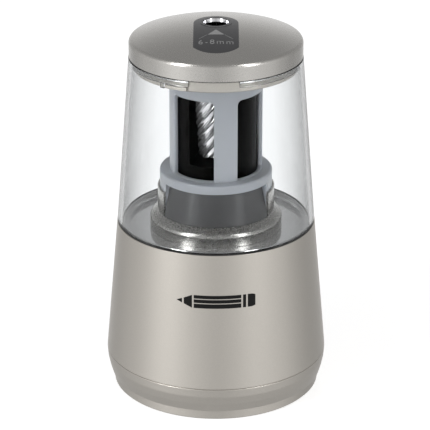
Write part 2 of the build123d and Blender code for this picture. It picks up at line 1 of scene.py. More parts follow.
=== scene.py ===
"""Desktop electric pencil sharpener: satin body, clear chip bin, domed lid and caged helical cutter.

Lengths in the shape functions are millimetres and become metres when a piece is made.
Azimuths are degrees from the front, towards the right.
"""

import json
import math

import bmesh
import bpy
import numpy as np
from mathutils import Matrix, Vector


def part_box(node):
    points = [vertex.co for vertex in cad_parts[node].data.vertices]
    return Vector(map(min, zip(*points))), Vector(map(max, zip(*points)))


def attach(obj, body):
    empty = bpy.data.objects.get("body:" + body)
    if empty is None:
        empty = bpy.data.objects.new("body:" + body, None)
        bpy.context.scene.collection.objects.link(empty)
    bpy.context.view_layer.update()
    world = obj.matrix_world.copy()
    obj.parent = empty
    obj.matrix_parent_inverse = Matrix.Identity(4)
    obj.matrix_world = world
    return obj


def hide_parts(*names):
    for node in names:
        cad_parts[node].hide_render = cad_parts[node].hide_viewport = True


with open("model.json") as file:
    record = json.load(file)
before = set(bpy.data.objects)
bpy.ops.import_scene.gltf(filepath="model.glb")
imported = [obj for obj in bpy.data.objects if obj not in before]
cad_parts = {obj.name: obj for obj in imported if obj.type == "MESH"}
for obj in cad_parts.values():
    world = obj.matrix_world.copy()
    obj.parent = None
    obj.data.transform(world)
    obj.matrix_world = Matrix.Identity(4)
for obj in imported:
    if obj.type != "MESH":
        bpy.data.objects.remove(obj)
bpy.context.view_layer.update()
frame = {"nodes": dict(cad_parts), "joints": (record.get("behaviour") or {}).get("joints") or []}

bl_info = {
    "name": "Pencil Sharpener Maker",
    "version": (1, 0, 0),
    "blender": (4, 5, 0),
    "location": "View3D > Sidebar > Sharpener",
    "description": "Makes the visible pieces of a desktop electric pencil sharpener",
    "category": "Add Mesh",
}

MM = 0.001
ARC_STEP = math.radians(11)
TURN_STEPS = 216
FLAT_CORNER = 1e-4       # a corner that turns by less than twice this stays a plain point

BAYONETS = 3
RIB_START, RIB_ARC, RIB_HEIGHT = 15.9, 85.5, 1.5
STOP_BACK, STOP_ARC, STOP_DROP = 20.5, 3.0, 1.6
LUG_ARC, LUG_GAP, LUG_Z = 16.0, 1.0, (0.2, 1.5)
DOME_INSET, CROWN_INSET, LID_FILLET = 1.14, 1.4, 1.75
SLEEVE_LIFT, FLANGE_DEPTH, MOUTH_DEPTH = 0.05, 0.75, 1.2
PLATE_BULGE = 9.16
MARKING, MARKING_WIDTH, MARKING_Y, MARKING_STRETCH = "6-8mm", 11.6, -16.8, 1.1
PRINT_LIFT = 0.03

STRUTS, STRUT_AZIMUTH, WINDOW_HALF = 4, 12.5, 30
CAGE_BORE, SKIRT_BORE = 14.6, 18.1
FLANGE_Z, WINDOW_Z, PANEL_FOOT = (77.5, 80.6), (80.9, 109.6), 80.75
SHOULDER, HOUSING_RADIUS = 2.1, 17.8
CUTTER_TIP, CUTTER_ROOT, CUTTER_BORE, CUTTER_BEVEL = 4.5, 3.25, 1.2, 0.55
FLUTE_MARKS = [0.0, 0.05, 0.13, 0.24, 0.36, 0.46, 0.66, 0.84, 0.95, 1.0]
FLUTE_DEPTHS = [0.0, 0.75, 1.0, 1.0, 0.60, 0.10, 0.36, 0.14, 0.0, 0.0]

CAMERA_PLACE, CAMERA_DIP, LENS, SHIFT = (0, -0.7107, 0.35607), 22.48, 183.0, -1 / 430
FLOOR_REACH = 4.0
LAMP_DISTANCE, LAMP_HEIGHT, LAMP_TALL, LAMP_AIM = 1.1, 0.62, 1.1, (0, 0, 0.07)
LAMPS = (("key", -50, 0.30, 7), ("fill", 47, 0.26, 5))      # name, azimuth, width, power
SURROUND = ((-180, 0.90), (-134, 0.42), (-96, 0.60), (-52, 1.12), (-20, 0.78), (0, 0.56), (20, 0.72),
            (37, 0.95), (72, 0.78), (100, 0.48), (114, 0.36), (140, 0.42), (180, 0.90))
OVERHEAD, UNDERNEATH = (0.0, 0.75, 0.30), (-0.36, -0.72, 0.42)      # sine of the rise: start, end; grey


# ---- reading the frame -------------------------------------------------------
def node_points(node):
    """Vertices of a CAD node as an array, in millimetres."""
    mesh = frame["nodes"][node].data
    flat = np.empty(len(mesh.vertices) * 3)
    mesh.vertices.foreach_get("co", flat)
    return flat.reshape(-1, 3) / MM


def span(node):
    """Lowest and highest z of a CAD node, in millimetres."""
    low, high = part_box(node)
    return low.z / MM, high.z / MM


def rim(node, height, inner=False, reach=0.06):
    """Largest, or smallest, radius of a CAD node within reach of a height."""
    points = node_points(node)
    near = points[np.abs(points[:, 2] - height) < reach]
    radii = np.hypot(near[:, 0], near[:, 1])
    return float(radii.min() if inner else radii.max())


def rims(node, height):
    """Largest and smallest radius of a CAD node at a height."""
    return rim(node, height), rim(node, height, True)


def joint(name):
    """A joint of the record by its name."""
    return next(entry for entry in frame["joints"] if entry["name"] == name)


# ---- outlines and shells -----------------------------------------------------
def rounded(corners, closed=True):
    """Outline whose straight runs are joined by tangent arcs, with outward normals.

    A corner is (r, z, radius). Its arc's centre is on the bisector, radius / sin(half the angle)
    away, and the arc starts and ends radius / tan(half the angle) from the corner.
    """
    points, normals = [], []
    places = [np.array(corner[:2], float) for corner in corners]
    area = sum(a[0] * b[1] - b[0] * a[1] for a, b in zip(places, places[1:] + places[:1]))
    side = 1.0 if area > 0 else -1.0
    count = len(places)
    for index, (here, corner) in enumerate(zip(places, corners)):
        before, after = places[index - 1], places[(index + 1) % count]
        if not closed and index in (0, count - 1):
            run = after - here if index == 0 else here - before
            run = run / np.linalg.norm(run)
            points.append(here)
            normals.append(side * np.array([run[1], -run[0]]))
            continue
        back, ahead = before - here, after - here
        lengths = np.linalg.norm(back), np.linalg.norm(ahead)
        back, ahead = back / lengths[0], ahead / lengths[1]
        half = math.acos(max(-1.0, min(1.0, float(back @ ahead)))) / 2
        if math.pi / 2 - half < FLAT_CORNER:
            points.append(here)
            normals.append(side * np.array([ahead[1], -ahead[0]]))
            continue
        reach = min(max(corner[2], 0.02) / math.tan(half), 0.49 * min(lengths))
        radius = reach * math.tan(half)
        bisector = (back + ahead) / np.linalg.norm(back + ahead)
        centre = here + bisector * radius / math.sin(half)
        first, last = here + back * reach - centre, here + ahead * reach - centre
        turn = math.pi - 2 * half
        steps = max(2, math.ceil(turn / ARC_STEP))
        sweep = np.linspace(0, 1, steps + 1)
        blend = [(math.sin((1 - t) * turn) * first + math.sin(t * turn) * last) / math.sin(turn)
                 for t in sweep]
        outward = side * np.sign(-(back[0] * ahead[1] - back[1] * ahead[0]))
        for offset in blend:
            points.append(centre + offset)
            normals.append(outward * offset / radius)
    return np.array(points), np.array(normals)


def grid_faces(rows, columns, wrap_rows, wrap_columns):
    """Quads of a grid of rows by columns, as an index array."""
    i = np.arange(rows if wrap_rows else rows - 1)
    j = np.arange(columns if wrap_columns else columns - 1)
    i, j = np.meshgrid(i, j, indexing="ij")
    below, beside = (i + 1) % rows, (j + 1) % columns
    quads = [i * columns + j, below * columns + j, below * columns + beside, i * columns + beside]
    return np.stack(quads, -1).reshape(-1, 4)


def face_normal(points, face):
    """Unit normal of a face, by the sum of cross products round its edge."""
    ring = points[np.asarray(face)]
    total = np.cross(ring, np.roll(ring, -1, axis=0)).sum(axis=0)
    return total / (np.linalg.norm(total) or 1.0)


def swept(pairs, azimuths):
    """Outline pairs (r, z) carried round Z: x = r sin a, y = -r cos a, one row of points per pair."""
    x, y = np.outer(pairs[:, 0], np.sin(azimuths)), np.outer(pairs[:, 0], -np.cos(azimuths))
    return np.stack([x, y, np.repeat(pairs[:, 1:2], len(azimuths), axis=1)], -1).reshape(-1, 3)


def turned(corners, start=0.0, arc=360.0, closed=True, azimuths=None):
    """Shell of revolution from an outline, whole or over an arc whose two ends are then closed."""
    profile, slope = rounded(corners, closed)
    whole = arc >= 360
    if azimuths is None:
        steps = max(3, round(TURN_STEPS * arc / 360))
        azimuths = np.radians(start + arc * np.arange(steps + (0 if whole else 1)) / steps)
    points, normals = swept(profile, azimuths), swept(slope, azimuths)
    rows, columns = len(profile), len(azimuths)
    quads = grid_faces(rows, columns, closed, whole)
    longest = int(np.argmax(np.linalg.norm(np.roll(profile, -1, axis=0) - profile, axis=1)[:rows - 1]))
    test = quads[longest * (columns if whole else columns - 1)]
    if face_normal(points, test) @ normals[test[0]] < 0:
        quads = quads[:, ::-1]
    faces = [tuple(quad) for quad in quads.tolist()]
    loops = normals[quads.reshape(-1)]
    if not whole and closed:
        for column, sign in ((0, -1), (columns - 1, 1)):
            tangent = sign * np.array([math.cos(azimuths[column]), math.sin(azimuths[column]), 0.0])
            cap = np.arange(rows) * columns + column
            if face_normal(points, cap) @ tangent < 0:
                cap = cap[::-1]
            faces.append(tuple(cap.tolist()))
            loops = np.vstack([loops, np.tile(tangent, (rows, 1))])
    return points, faces, loops


def disc(corners, steps=72):
    """Shell of revolution whose outline starts and ends on the axis, closed by a fan at each pole."""
    profile, slope = rounded(corners, closed=False)
    azimuths = 2 * np.pi * np.arange(steps) / steps
    rows = len(profile) - 2
    first, last = rows * steps, rows * steps + 1
    points = np.vstack([swept(profile[1:-1], azimuths), [[0, 0, profile[0, 1]], [0, 0, profile[-1, 1]]]])
    up = 1.0 if profile[0, 1] > profile[-1, 1] else -1.0
    normals = np.vstack([swept(slope[1:-1], azimuths), [[0, 0, up], [0, 0, -up]]])
    faces = [tuple(quad) for quad in grid_faces(rows, steps, False, True).tolist()]
    faces += [(first, j, (j + 1) % steps) for j in range(steps)]
    faces += [(last, (rows - 1) * steps + (j + 1) % steps, (rows - 1) * steps + j) for j in range(steps)]
    if face_normal(points, faces[-1]) @ normals[last] < 0:
        faces = [face[::-1] for face in faces]
    loops = normals[np.concatenate([np.array(face) for face in faces])]
    return points, faces, loops


def moved(shell, offset=(0, 0, 0), basis=None):
    """A shell turned by a 3 by 3 basis, then moved by an offset."""
    points, faces, loops = shell
    basis = np.eye(3) if basis is None else np.asarray(basis)
    return points @ basis.T + np.asarray(offset, float), faces, None if loops is None else loops @ basis.T


def joined(mesh, reach, recalculated=False):
    """Join a mesh's vertices that lie within reach of each other, in metres."""
    work = bmesh.new()
    work.from_mesh(mesh)
    bmesh.ops.remove_doubles(work, verts=work.verts, dist=reach)
    if recalculated:
        bmesh.ops.recalc_face_normals(work, faces=work.faces)
    work.to_mesh(mesh)
    work.free()


def placed(name, mesh, finish):
    """Object of that mesh in the scene, with one material."""
    piece = bpy.data.objects.new(name, mesh)
    bpy.context.scene.collection.objects.link(piece)
    mesh.materials.clear()
    mesh.materials.append(finish)
    return piece


def make_piece(name, shells, body, nodes, finish, crease=None):
    """Mesh object in metres from shells, riding on a body and standing for its CAD nodes."""
    points, faces, loops, base = [], [], [], 0
    for shell in shells:
        points.append(shell[0] * MM)
        faces += [tuple(corner + base for corner in face) for face in shell[1]]
        loops.append(shell[2])
        base += len(shell[0])
    mesh = bpy.data.meshes.new(name)
    mesh.from_pydata(np.vstack(points).tolist(), [], faces)
    mesh.polygons.foreach_set("use_smooth", np.ones(len(mesh.polygons), bool))
    if crease is None:
        mesh.normals_split_custom_set(np.vstack(loops).tolist())
    else:
        mesh.set_sharp_from_angle(angle=math.radians(crease))
    mesh.update()
    piece = placed(name, mesh, finish)
    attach(piece, body)
    if nodes:
        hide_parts(*nodes)
    return piece


def make_skin(node, shells, body, kind, crease=None):
    """Piece that stands for one CAD node and is named after it."""
    return make_piece(f"{node}_skin", shells, body, [node], finish(kind), crease)


def merged_copy(node, body, kind, edge):
    """Copy of a CAD node with its triangles joined, its faces smooth and its edges softly bevelled."""
    mesh = frame["nodes"][node].data.copy()
    mesh.name = f"{node}_skin"
    piece = placed(mesh.name, mesh, finish(kind))
    work = bmesh.new()
    work.from_mesh(mesh)
    bmesh.ops.remove_doubles(work, verts=work.verts, dist=2e-7)
    bmesh.ops.dissolve_limit(work, angle_limit=math.radians(0.4), verts=work.verts, edges=work.edges)
    work.to_mesh(mesh)
    work.free()
    if mesh.has_custom_normals:
        bpy.context.view_layer.objects.active = piece
        bpy.ops.mesh.customdata_custom_splitnormals_clear()
    mesh.polygons.foreach_set("use_smooth", np.ones(len(mesh.polygons), bool))
    mesh.set_sharp_from_angle(angle=math.radians(28))
    if edge:
        bevel = piece.modifiers.new("soft edges", "BEVEL")
        bevel.width = edge * MM
        bevel.segments = 2
        bevel.angle_limit = math.radians(35)
        bevel.harden_normals = True
    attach(piece, body)
    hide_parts(node)
    return piece


# ---- finishes ----------------------------------------------------------------
def new_finish(name):
    """Material with an empty Principled shader, and its node tree."""
    material = bpy.data.materials.new(name)
    material.use_nodes = True
    tree = material.node_tree
    return material, tree, tree.nodes["Principled BSDF"]


def fixed(shader, **values):
    """Set a shader's sockets to constants; an underscore stands for a space in a socket's name."""
    for socket, value in values.items():
        shader.inputs[socket.replace("_", " ")].default_value = value


def pattern(tree, kind, scale, stretch=(1, 1, 1), **sockets):
    """Noise or Voronoi texture on Object coordinates, stretched along the axes."""
    place = tree.nodes.new("ShaderNodeTexCoord")
    mapping = tree.nodes.new("ShaderNodeMapping")
    mapping.inputs["Scale"].default_value = stretch
    texture = tree.nodes.new(kind)
    texture.inputs["Scale"].default_value = scale
    for socket, value in sockets.items():
        texture.inputs[socket].default_value = value
    tree.links.new(place.outputs["Object"], mapping.inputs["Vector"])
    tree.links.new(mapping.outputs["Vector"], texture.inputs["Vector"])
    return texture


def ranged(tree, source, low, high):
    """Map a 0 to 1 value onto a range."""
    node = tree.nodes.new("ShaderNodeMapRange")
    node.inputs["To Min"].default_value = low
    node.inputs["To Max"].default_value = high
    tree.links.new(source, node.inputs["Value"])
    return node.outputs["Result"]


def blended(tree, factor, first, second):
    """Mix of two colours by a factor."""
    node = tree.nodes.new("ShaderNodeMix")
    node.data_type = "RGBA"
    node.inputs["A"].default_value = (*first, 1)
    node.inputs["B"].default_value = (*second, 1)
    tree.links.new(factor, node.inputs["Factor"])
    return node.outputs["Result"]


def bumped(tree, shader, height, strength, depth):
    """Bump of a height pattern, depth in metres."""
    node = tree.nodes.new("ShaderNodeBump")
    node.inputs["Strength"].default_value = strength
    node.inputs["Distance"].default_value = depth
    tree.links.new(height, node.inputs["Height"])
    tree.links.new(node.outputs["Normal"], shader.inputs["Normal"])


def shade(colour, factor):
    """A colour made lighter or darker."""
    return tuple(min(1.0, max(0.0, channel * factor)) for channel in colour[:3])


def surface(name, colour, metallic, roughness, grain, spread=0.06, bump=0.15, depth=2e-5, mottle=0.05,
            stretch=(1, 1, 1), **sockets):
    """Finish whose roughness, tone and height vary with two sizes of noise.

    A fine grain drives the bump and roughness, and a cloud 40 times coarser drives the tone.
    """
    material, tree, shader = new_finish(name)
    fine = pattern(tree, "ShaderNodeTexNoise", grain, stretch, Detail=3.0, Roughness=0.6)
    cloud = pattern(tree, "ShaderNodeTexNoise", grain / 40, stretch, Detail=4.0)
    tone = blended(tree, cloud.outputs["Fac"], shade(colour, 1 - mottle), shade(colour, 1 + mottle))
    tree.links.new(tone, shader.inputs["Base Color"])
    rough = ranged(tree, fine.outputs["Fac"], roughness - spread, roughness + spread)
    tree.links.new(rough, shader.inputs["Roughness"])
    fixed(shader, Metallic=metallic, **sockets)
    bumped(tree, shader, fine.outputs["Fac"], bump, depth)
    return material


def metal_flake(name, colour, roughness, contrast):
    """Satin metallic paint: flakes under a thin clear coat, with a faint spray texture."""
    material, tree, shader = new_finish(name)
    flakes = pattern(tree, "ShaderNodeTexVoronoi", 5200, Randomness=1.0)
    sparkle = tree.nodes.new("ShaderNodeSeparateColor")
    tree.links.new(flakes.outputs["Color"], sparkle.inputs["Color"])
    tone = blended(tree, sparkle.outputs["Red"], shade(colour, 1 - contrast), shade(colour, 1 + contrast))
    tree.links.new(tone, shader.inputs["Base Color"])
    rough = ranged(tree, sparkle.outputs["Green"], roughness - 0.05, roughness + 0.05)
    tree.links.new(rough, shader.inputs["Roughness"])
    spray = pattern(tree, "ShaderNodeTexNoise", 900, Detail=2.0)
    bumped(tree, shader, spray.outputs["Fac"], 0.03, 2e-5)
    fixed(shader, Metallic=0.86, Coat_Weight=0.12, Coat_Roughness=0.22)
    return material


def clear_moulding(name, colour):
    """Clear moulded plastic: polished, with painted shade that darkens its colour towards grazing edges,
    slow flow waves and fine rubbed marks.
    """
    material, tree, shader = new_finish(name)
    waves = pattern(tree, "ShaderNodeTexNoise", 45, (1, 1, 0.35), Detail=1.0)
    marks = pattern(tree, "ShaderNodeTexNoise", 700, (1, 1, 0.08), Detail=5.0, Roughness=0.7)
    tree.links.new(ranged(tree, marks.outputs["Fac"], 0.0, 0.03), shader.inputs["Roughness"])
    # Painted shade: the colour darkens as the surface turns edge on, standing in for the dark edges that
    # refraction and the surroundings give.
    facing = tree.nodes.new("ShaderNodeLayerWeight")
    facing.inputs["Blend"].default_value = 0.5
    edge = ranged(tree, facing.outputs["Facing"], -0.35, 1.0)
    tone = blended(tree, edge, colour, shade(colour, 0.15))
    tree.links.new(tone, shader.inputs["Base Color"])
    bumped(tree, shader, waves.outputs["Fac"], 0.08, 4e-5)
    fixed(shader, Transmission_Weight=1.0, IOR=1.49, Specular_Tint=(0.005, 0.005, 0.005, 1))
    return material


def milky_moulding(name, colour):
    """Translucent plastic: light scatters under a softly glossy, lightly grained skin."""
    material, tree, shader = new_finish(name)
    cloud = pattern(tree, "ShaderNodeTexNoise", 60, Detail=3.0)
    grain = pattern(tree, "ShaderNodeTexNoise", 1800, Detail=2.0)
    tone = blended(tree, cloud.outputs["Fac"], shade(colour, 0.95), shade(colour, 1.03))
    tree.links.new(tone, shader.inputs["Base Color"])
    tree.links.new(ranged(tree, grain.outputs["Fac"], 0.30, 0.42), shader.inputs["Roughness"])
    bumped(tree, shader, grain.outputs["Fac"], 0.10, 1.5e-5)
    fixed(shader, Subsurface_Weight=0.35, Subsurface_Radius=(1.0, 1.05, 1.15), Subsurface_Scale=0.002)
    return material


def wound_wire(name, colour):
    """Enamelled copper: fine turns of wire wrapped round Z, as bands in height."""
    material, tree, shader = new_finish(name)
    bands = pattern(tree, "ShaderNodeTexWave", 420, (0, 0, 1))
    bands.bands_direction = "Z"
    tone = blended(tree, bands.outputs["Fac"], shade(colour, 0.5), colour)
    tree.links.new(tone, shader.inputs["Base Color"])
    bumped(tree, shader, bands.outputs["Fac"], 0.5, 1e-4)
    fixed(shader, Metallic=0.9, Roughness=0.3)
    return material


def cell_sleeve(name, colour, band, split):
    """Printed sleeve of a cell: one colour below a height and another above it, with a soft sheen."""
    material, tree, shader = new_finish(name)
    place = tree.nodes.new("ShaderNodeTexCoord")
    axes = tree.nodes.new("ShaderNodeSeparateXYZ")
    tree.links.new(place.outputs["Object"], axes.inputs["Vector"])
    above = tree.nodes.new("ShaderNodeMath")
    above.operation = "GREATER_THAN"
    above.inputs[1].default_value = split * MM
    tree.links.new(axes.outputs["Z"], above.inputs[0])
    tree.links.new(blended(tree, above.outputs["Value"], colour, band), shader.inputs["Base Color"])
    grain = pattern(tree, "ShaderNodeTexNoise", 900, Detail=2.0)
    tree.links.new(ranged(tree, grain.outputs["Fac"], 0.2, 0.34), shader.inputs["Roughness"])
    bumped(tree, shader, grain.outputs["Fac"], 0.05, 1e-5)
    return material


# Finish: material, colour or its setting, metallic, roughness, grain, spread, bump, depth, mottle.
SURFACES = {
    "tray": ("gloss_tray", "tray", 0.8, 0.12, 800, 0.04, 0.04, 1e-5, 0.02),
    "housing": ("grey_housing", "housing", 0.2, 0.33, 1500, 0.05, 0.12, 1e-5, 0.04),
    "label": ("grey_label", "label", 0.35, 0.34, 1600, 0.05, 0.1, 1e-5, 0.04),
    "print": ("light_print", "label_print", 0.0, 0.45, 2500, 0.05, 0.2, 5e-6, 0.05),
    "mark": ("black_print", (0.006, 0.006, 0.006), 0.0, 0.45, 2500, 0.06, 0.2, 5e-6, 0.2),
    "cover": ("grey_cover", "cover", 0.1, 0.45, 2200, 0.06, 0.3, 2e-5, 0.05),
    "rubber": ("black_rubber", (0.018, 0.018, 0.018), 0.0, 0.72, 1600, 0.1, 0.4, 3e-5, 0.2),
    "black": ("black_moulding", (0.001, 0.001, 0.001), 0.0, 0.45, 1800, 0.08, 0.2, 2e-5, 0.2),
    "chassis": ("dark_moulding", (0.03, 0.03, 0.033), 0.0, 0.5, 1500, 0.08, 0.25, 2e-5, 0.1),
    "steel": ("turned_steel", (0.55, 0.55, 0.56), 1.0, 0.26, 2600, 0.08, 0.2, 8e-6, 0.06),
    "cutter": ("ground_steel", (0.72, 0.72, 0.73), 0.78, 0.19, 3500, 0.06, 0.25, 6e-6, 0.04),
    "nickel": ("nickel_plate", (0.66, 0.63, 0.56), 1.0, 0.24, 1400, 0.06, 0.1, 8e-6, 0.08),
    "chrome": ("polished_chrome", (0.80, 0.80, 0.82), 1.0, 0.07, 900, 0.02, 0.04, 5e-6, 0.03),
    "brass": ("turned_brass", (0.62, 0.42, 0.14), 1.0, 0.28, 2400, 0.06, 0.15, 8e-6, 0.08),
    "nylon": ("white_nylon", (0.70, 0.68, 0.60), 0.0, 0.44, 1500, 0.05, 0.15, 1e-5, 0.03),
    "ferrite": ("ferrite", (0.035, 0.035, 0.038), 0.0, 0.7, 2600, 0.08, 0.5, 3e-5, 0.2),
    "board": ("green_board", (0.012, 0.10, 0.045), 0.0, 0.3, 3200, 0.06, 0.15, 1e-5, 0.25),
}
SURFACE_EXTRAS = {
    "mark": {"Specular_IOR_Level": 0.15},
    "black": {"Specular_IOR_Level": 0.05},
    "steel": {"stretch": (0.06, 0.06, 1)},
    "cutter": {"stretch": (1, 1, 0.12)},
}
# Finish: material, its colour setting, roughness, contrast of the flakes.
FLAKES = {
    "body": ("satin_body", "body", 0.35, 0.03),
    "lid": ("satin_lid", "lid", 0.24, 0.02),
    "pedestal": ("satin_pedestal", "pedestal", 0.27, 0.02),
    "lid_ring": ("satin_lid_ring", "body", 0.42, 0.05),
}
FINISHES = {}


def finish(name):
    """The finish of that name, made once from the scene's colours."""
    if name in FINISHES:
        return FINISHES[name]
    tint = bpy.context.scene.sharpener_colours
    if name in SURFACES:
        label, shown, *rest = SURFACES[name]
        shown = getattr(tint, shown) if isinstance(shown, str) else shown
        FINISHES[name] = surface(label, shown, *rest, **SURFACE_EXTRAS.get(name, {}))
    elif name in FLAKES:
        label, shown, *rest = FLAKES[name]
        FINISHES[name] = metal_flake(label, getattr(tint, shown), *rest)
    elif name == "clear":
        FINISHES[name] = clear_moulding("clear_plastic", tint.bin[:3])
    elif name == "cage":
        FINISHES[name] = milky_moulding("milky_cage", tint.cage[:3])
    elif name == "copper":
        FINISHES[name] = wound_wire("wound_copper", (0.55, 0.22, 0.08))
    else:
        FINISHES[name] = cell_sleeve("cell_sleeve", (0.015, 0.02, 0.025), (0.45, 0.32, 0.12), 38.0)
    return FINISHES[name]


# ---- settings ----------------------------------------------------------------
def length(name, description, default):
    """Length property in millimetres, shown as a distance."""
    return bpy.props.FloatProperty(name=name, description=description, default=default * MM, min=0.0,
                                   precision=5, subtype="DISTANCE", unit="LENGTH")


def colour(name, description, default):
    """Linear colour property."""
    return bpy.props.FloatVectorProperty(name=name, description=description, default=default, size=3,
                                         min=0.0, max=1.0, subtype="COLOR")


class SharpenerSizes(bpy.types.PropertyGroup):
    """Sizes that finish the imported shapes"""

    edge: length("Edge rounding", "Radius of the outer mouldings' edges", 0.35)
    fine_edge: length("Fine edge", "Radius of small mouldings' edges", 0.12)
    wall: length("Bin wall", "Thickness of the clear bin near its foot", 1.6)
    dome_wall: length("Lid wall", "Thickness of the domed lid", 1.5)
    window_corner: length("Window corner", "Radius of the cage windows' top corners", 1.8)
    reveal: length("Window reveal", "Rounding of the cage windows' edges", 0.4)
    plate_proud: length("Plate height", "How far the label plate stands above the dome", 0.1)
    mark_length: length("Mark length", "Length of the pencil mark on the body", 27.5)
    mark_height: length("Mark height", "Height of the pencil mark on the body", 4.6)
    lead: length("Helix lead", "Height in which a cutter tooth goes once round", 31.4)
    teeth: bpy.props.IntProperty(name="Cutter teeth", description="Teeth of the helical cutter",
                                 default=7, min=3)


class SharpenerColours(bpy.types.PropertyGroup):
    """Linear colours of the visible finishes"""

    body: colour("Body", "Satin body and base band", (0.56, 0.53, 0.485))
    lid: colour("Lid", "Satin domed lid", (0.53, 0.515, 0.49))
    pedestal: colour("Pedestal", "Pedestal and collar", (0.49, 0.48, 0.46))
    bin: colour("Bin", "Clear chip bin", (0.935, 0.945, 0.95))
    cage: colour("Cage", "Milky cutter cage", (0.56, 0.585, 0.625))
    tray: colour("Tray", "Glossy chip tray", (0.78, 0.78, 0.78))
    housing: colour("Housing", "Dark gear housing", (0.092, 0.092, 0.094))
    label: colour("Label", "Plate round the pencil hole", (0.075, 0.075, 0.078))
    label_print: colour("Print", "Arrow and size marking", (0.30, 0.30, 0.30))
    cover: colour("Cover", "Base cover and battery door", (0.33, 0.32, 0.30))


def sizes():
    """The scene's sizes in millimetres, by name."""
    group = bpy.context.scene.sharpener_sizes
    names = set(group.bl_rna.properties.keys()) - {"rna_type", "name", "teeth"}
    return {name: getattr(group, name) / MM for name in names}


# ---- body and base -----------------------------------------------------------
def tapered_wall(node, edge, inner_edge):
    """Corners of a tapered tube that follows a CAD node from its foot to its top."""
    low, high = span(node)
    foot = rim(node, low + edge, reach=0.4)
    return [(foot, low, edge), (rim(node, high), high, inner_edge),
            (rim(node, high, True), high, inner_edge), (rim(node, low, True), low, inner_edge)]


def pencil_mark(length_mm, height, radius_low, radius_high, low, high, middle):
    """Pencil pictogram laid on the tapered body: flat strips bent to r(z), a hair above the paint.

    Each strip is a grid of x and z, and its azimuth is x / r.
    """
    tip, collar, eraser = 0.20 * length_mm, 0.04 * length_mm, 0.10 * length_mm
    gap = 0.022 * length_mm
    left, right = -length_mm / 2, length_mm / 2
    shaft_start, shaft_end = left + tip + gap, right - eraser - collar - 2 * gap
    third = height / 3
    strips = [
        ([left, left + 0.36 * tip], lambda t: (-0.18 * height * t, 0.18 * height * t)),
        ([left + 0.36 * tip + gap, left + tip],
         lambda t: (-height * (0.22 + 0.28 * t), height * (0.22 + 0.28 * t))),
        ([shaft_end + gap, shaft_end + gap + collar], lambda t: (-height / 2, height / 2)),
        ([right - eraser, right], lambda t: (-height * (0.5 - 0.1 * t**4), height * (0.5 - 0.1 * t**4))),
    ]
    for row in range(3):
        bottom = -height / 2 + third * row
        inset = 0.07 * height
        strips.append(([shaft_start, shaft_end],
                       lambda t, b=bottom, i=inset: (b + (i if b > -height / 2 else 0), b + third)))
    shells = []
    for (start, end), edges in strips:
        across = np.linspace(0, 1, 25)
        x = start + (end - start) * across
        bounds = np.array([edges(t) for t in across]) + middle
        up = np.linspace(0, 1, 7)
        z = bounds[:, :1] + (bounds[:, 1:] - bounds[:, :1]) * up
        radius = radius_low + (radius_high - radius_low) * (z - low) / (high - low)
        grids = []
        for lift in (PRINT_LIFT, -0.10):
            angle = x[:, None] / radius
            out = radius + lift
            grids.append(np.stack([out * np.sin(angle), -out * np.cos(angle), z], -1))
        shells.append(slab(*grids))
    return shells


def slab(top, under):
    """Closed shell between two grids of the same size: both faces and the wall round their edge."""
    rows, columns = top.shape[:2]
    points = np.vstack([top.reshape(-1, 3), under.reshape(-1, 3)])
    quads = grid_faces(rows, columns, False, False)
    count = rows * columns
    first, last = np.arange(columns), np.arange(columns) + (rows - 1) * columns
    left, right = np.arange(rows) * columns, np.arange(rows) * columns + columns - 1
    edge = np.concatenate([first[:-1], right[:-1], last[:0:-1], left[:0:-1]])
    ahead = np.roll(edge, -1)
    walls = np.stack([edge, ahead, ahead + count, edge + count], -1)
    outward = (top - under).reshape(-1, 3).mean(axis=0)
    if face_normal(points, quads[len(quads) // 2]) @ outward < 0:
        quads, walls = quads[:, ::-1], walls
    else:
        walls = walls[:, ::-1]
    faces = quads.tolist() + (quads[:, ::-1] + count).tolist() + walls.tolist()
    return points, [tuple(face) for face in faces], None


class SharpenerBody(bpy.types.Operator):
    """Make the tapered body, its base band, the seam gasket (a black ring that paints the seam's shadow
    line) and the pencil mark
    """

    bl_idname = "sharpener.body"
    bl_label = "Body"

    def execute(self, context):
        size = sizes()
        wall = tapered_wall("body_shell", size["edge"], size["fine_edge"])
        make_skin("body_shell", [turned(wall)], "base", "body")
        low, high = span("base_band")
        foot, shoulder = rim("base_band", low), rim("base_band", high - 0.3, reach=0.4)
        inner = rim("base_band", high, True)
        socket_low, socket_high = span("power_socket")
        band = [(foot, low, 0.3), (foot + 0.9, low + 3, 6), (shoulder - 0.2, high - 3, 6),
                (shoulder, high, 0.3), (inner, high, 0.1), (foot - 2.2, low, 0.1)]
        piece = make_skin("base_band", [turned(band)], "base", "body")
        cut_socket(piece, socket_low, socket_high)
        # Seam gasket: a thin black ring at the bin's foot, painted shade that stands in for the shadow gap
        # of the seam.
        low, high = span("seam_gasket")
        middle = (low + high) / 2
        outer, inner = rims("seam_gasket", high)
        seam_shade_ring = [(outer, low, 0.05), (outer, middle, 0.0), (outer, high, 0.05), (inner, high, 0.05),
                (inner, low, 0.05)]
        make_skin("seam_gasket", [turned(seam_shade_ring)], "base", "rubber")
        low, high = span("body_shell")
        mark = pencil_mark(size["mark_length"], size["mark_height"], wall[0][0], wall[1][0], low, high,
                           low + 0.66 * (high - low))
        make_piece("pencil_mark", mark, "base", [], finish("mark"), crease=30)
        return {"FINISHED"}


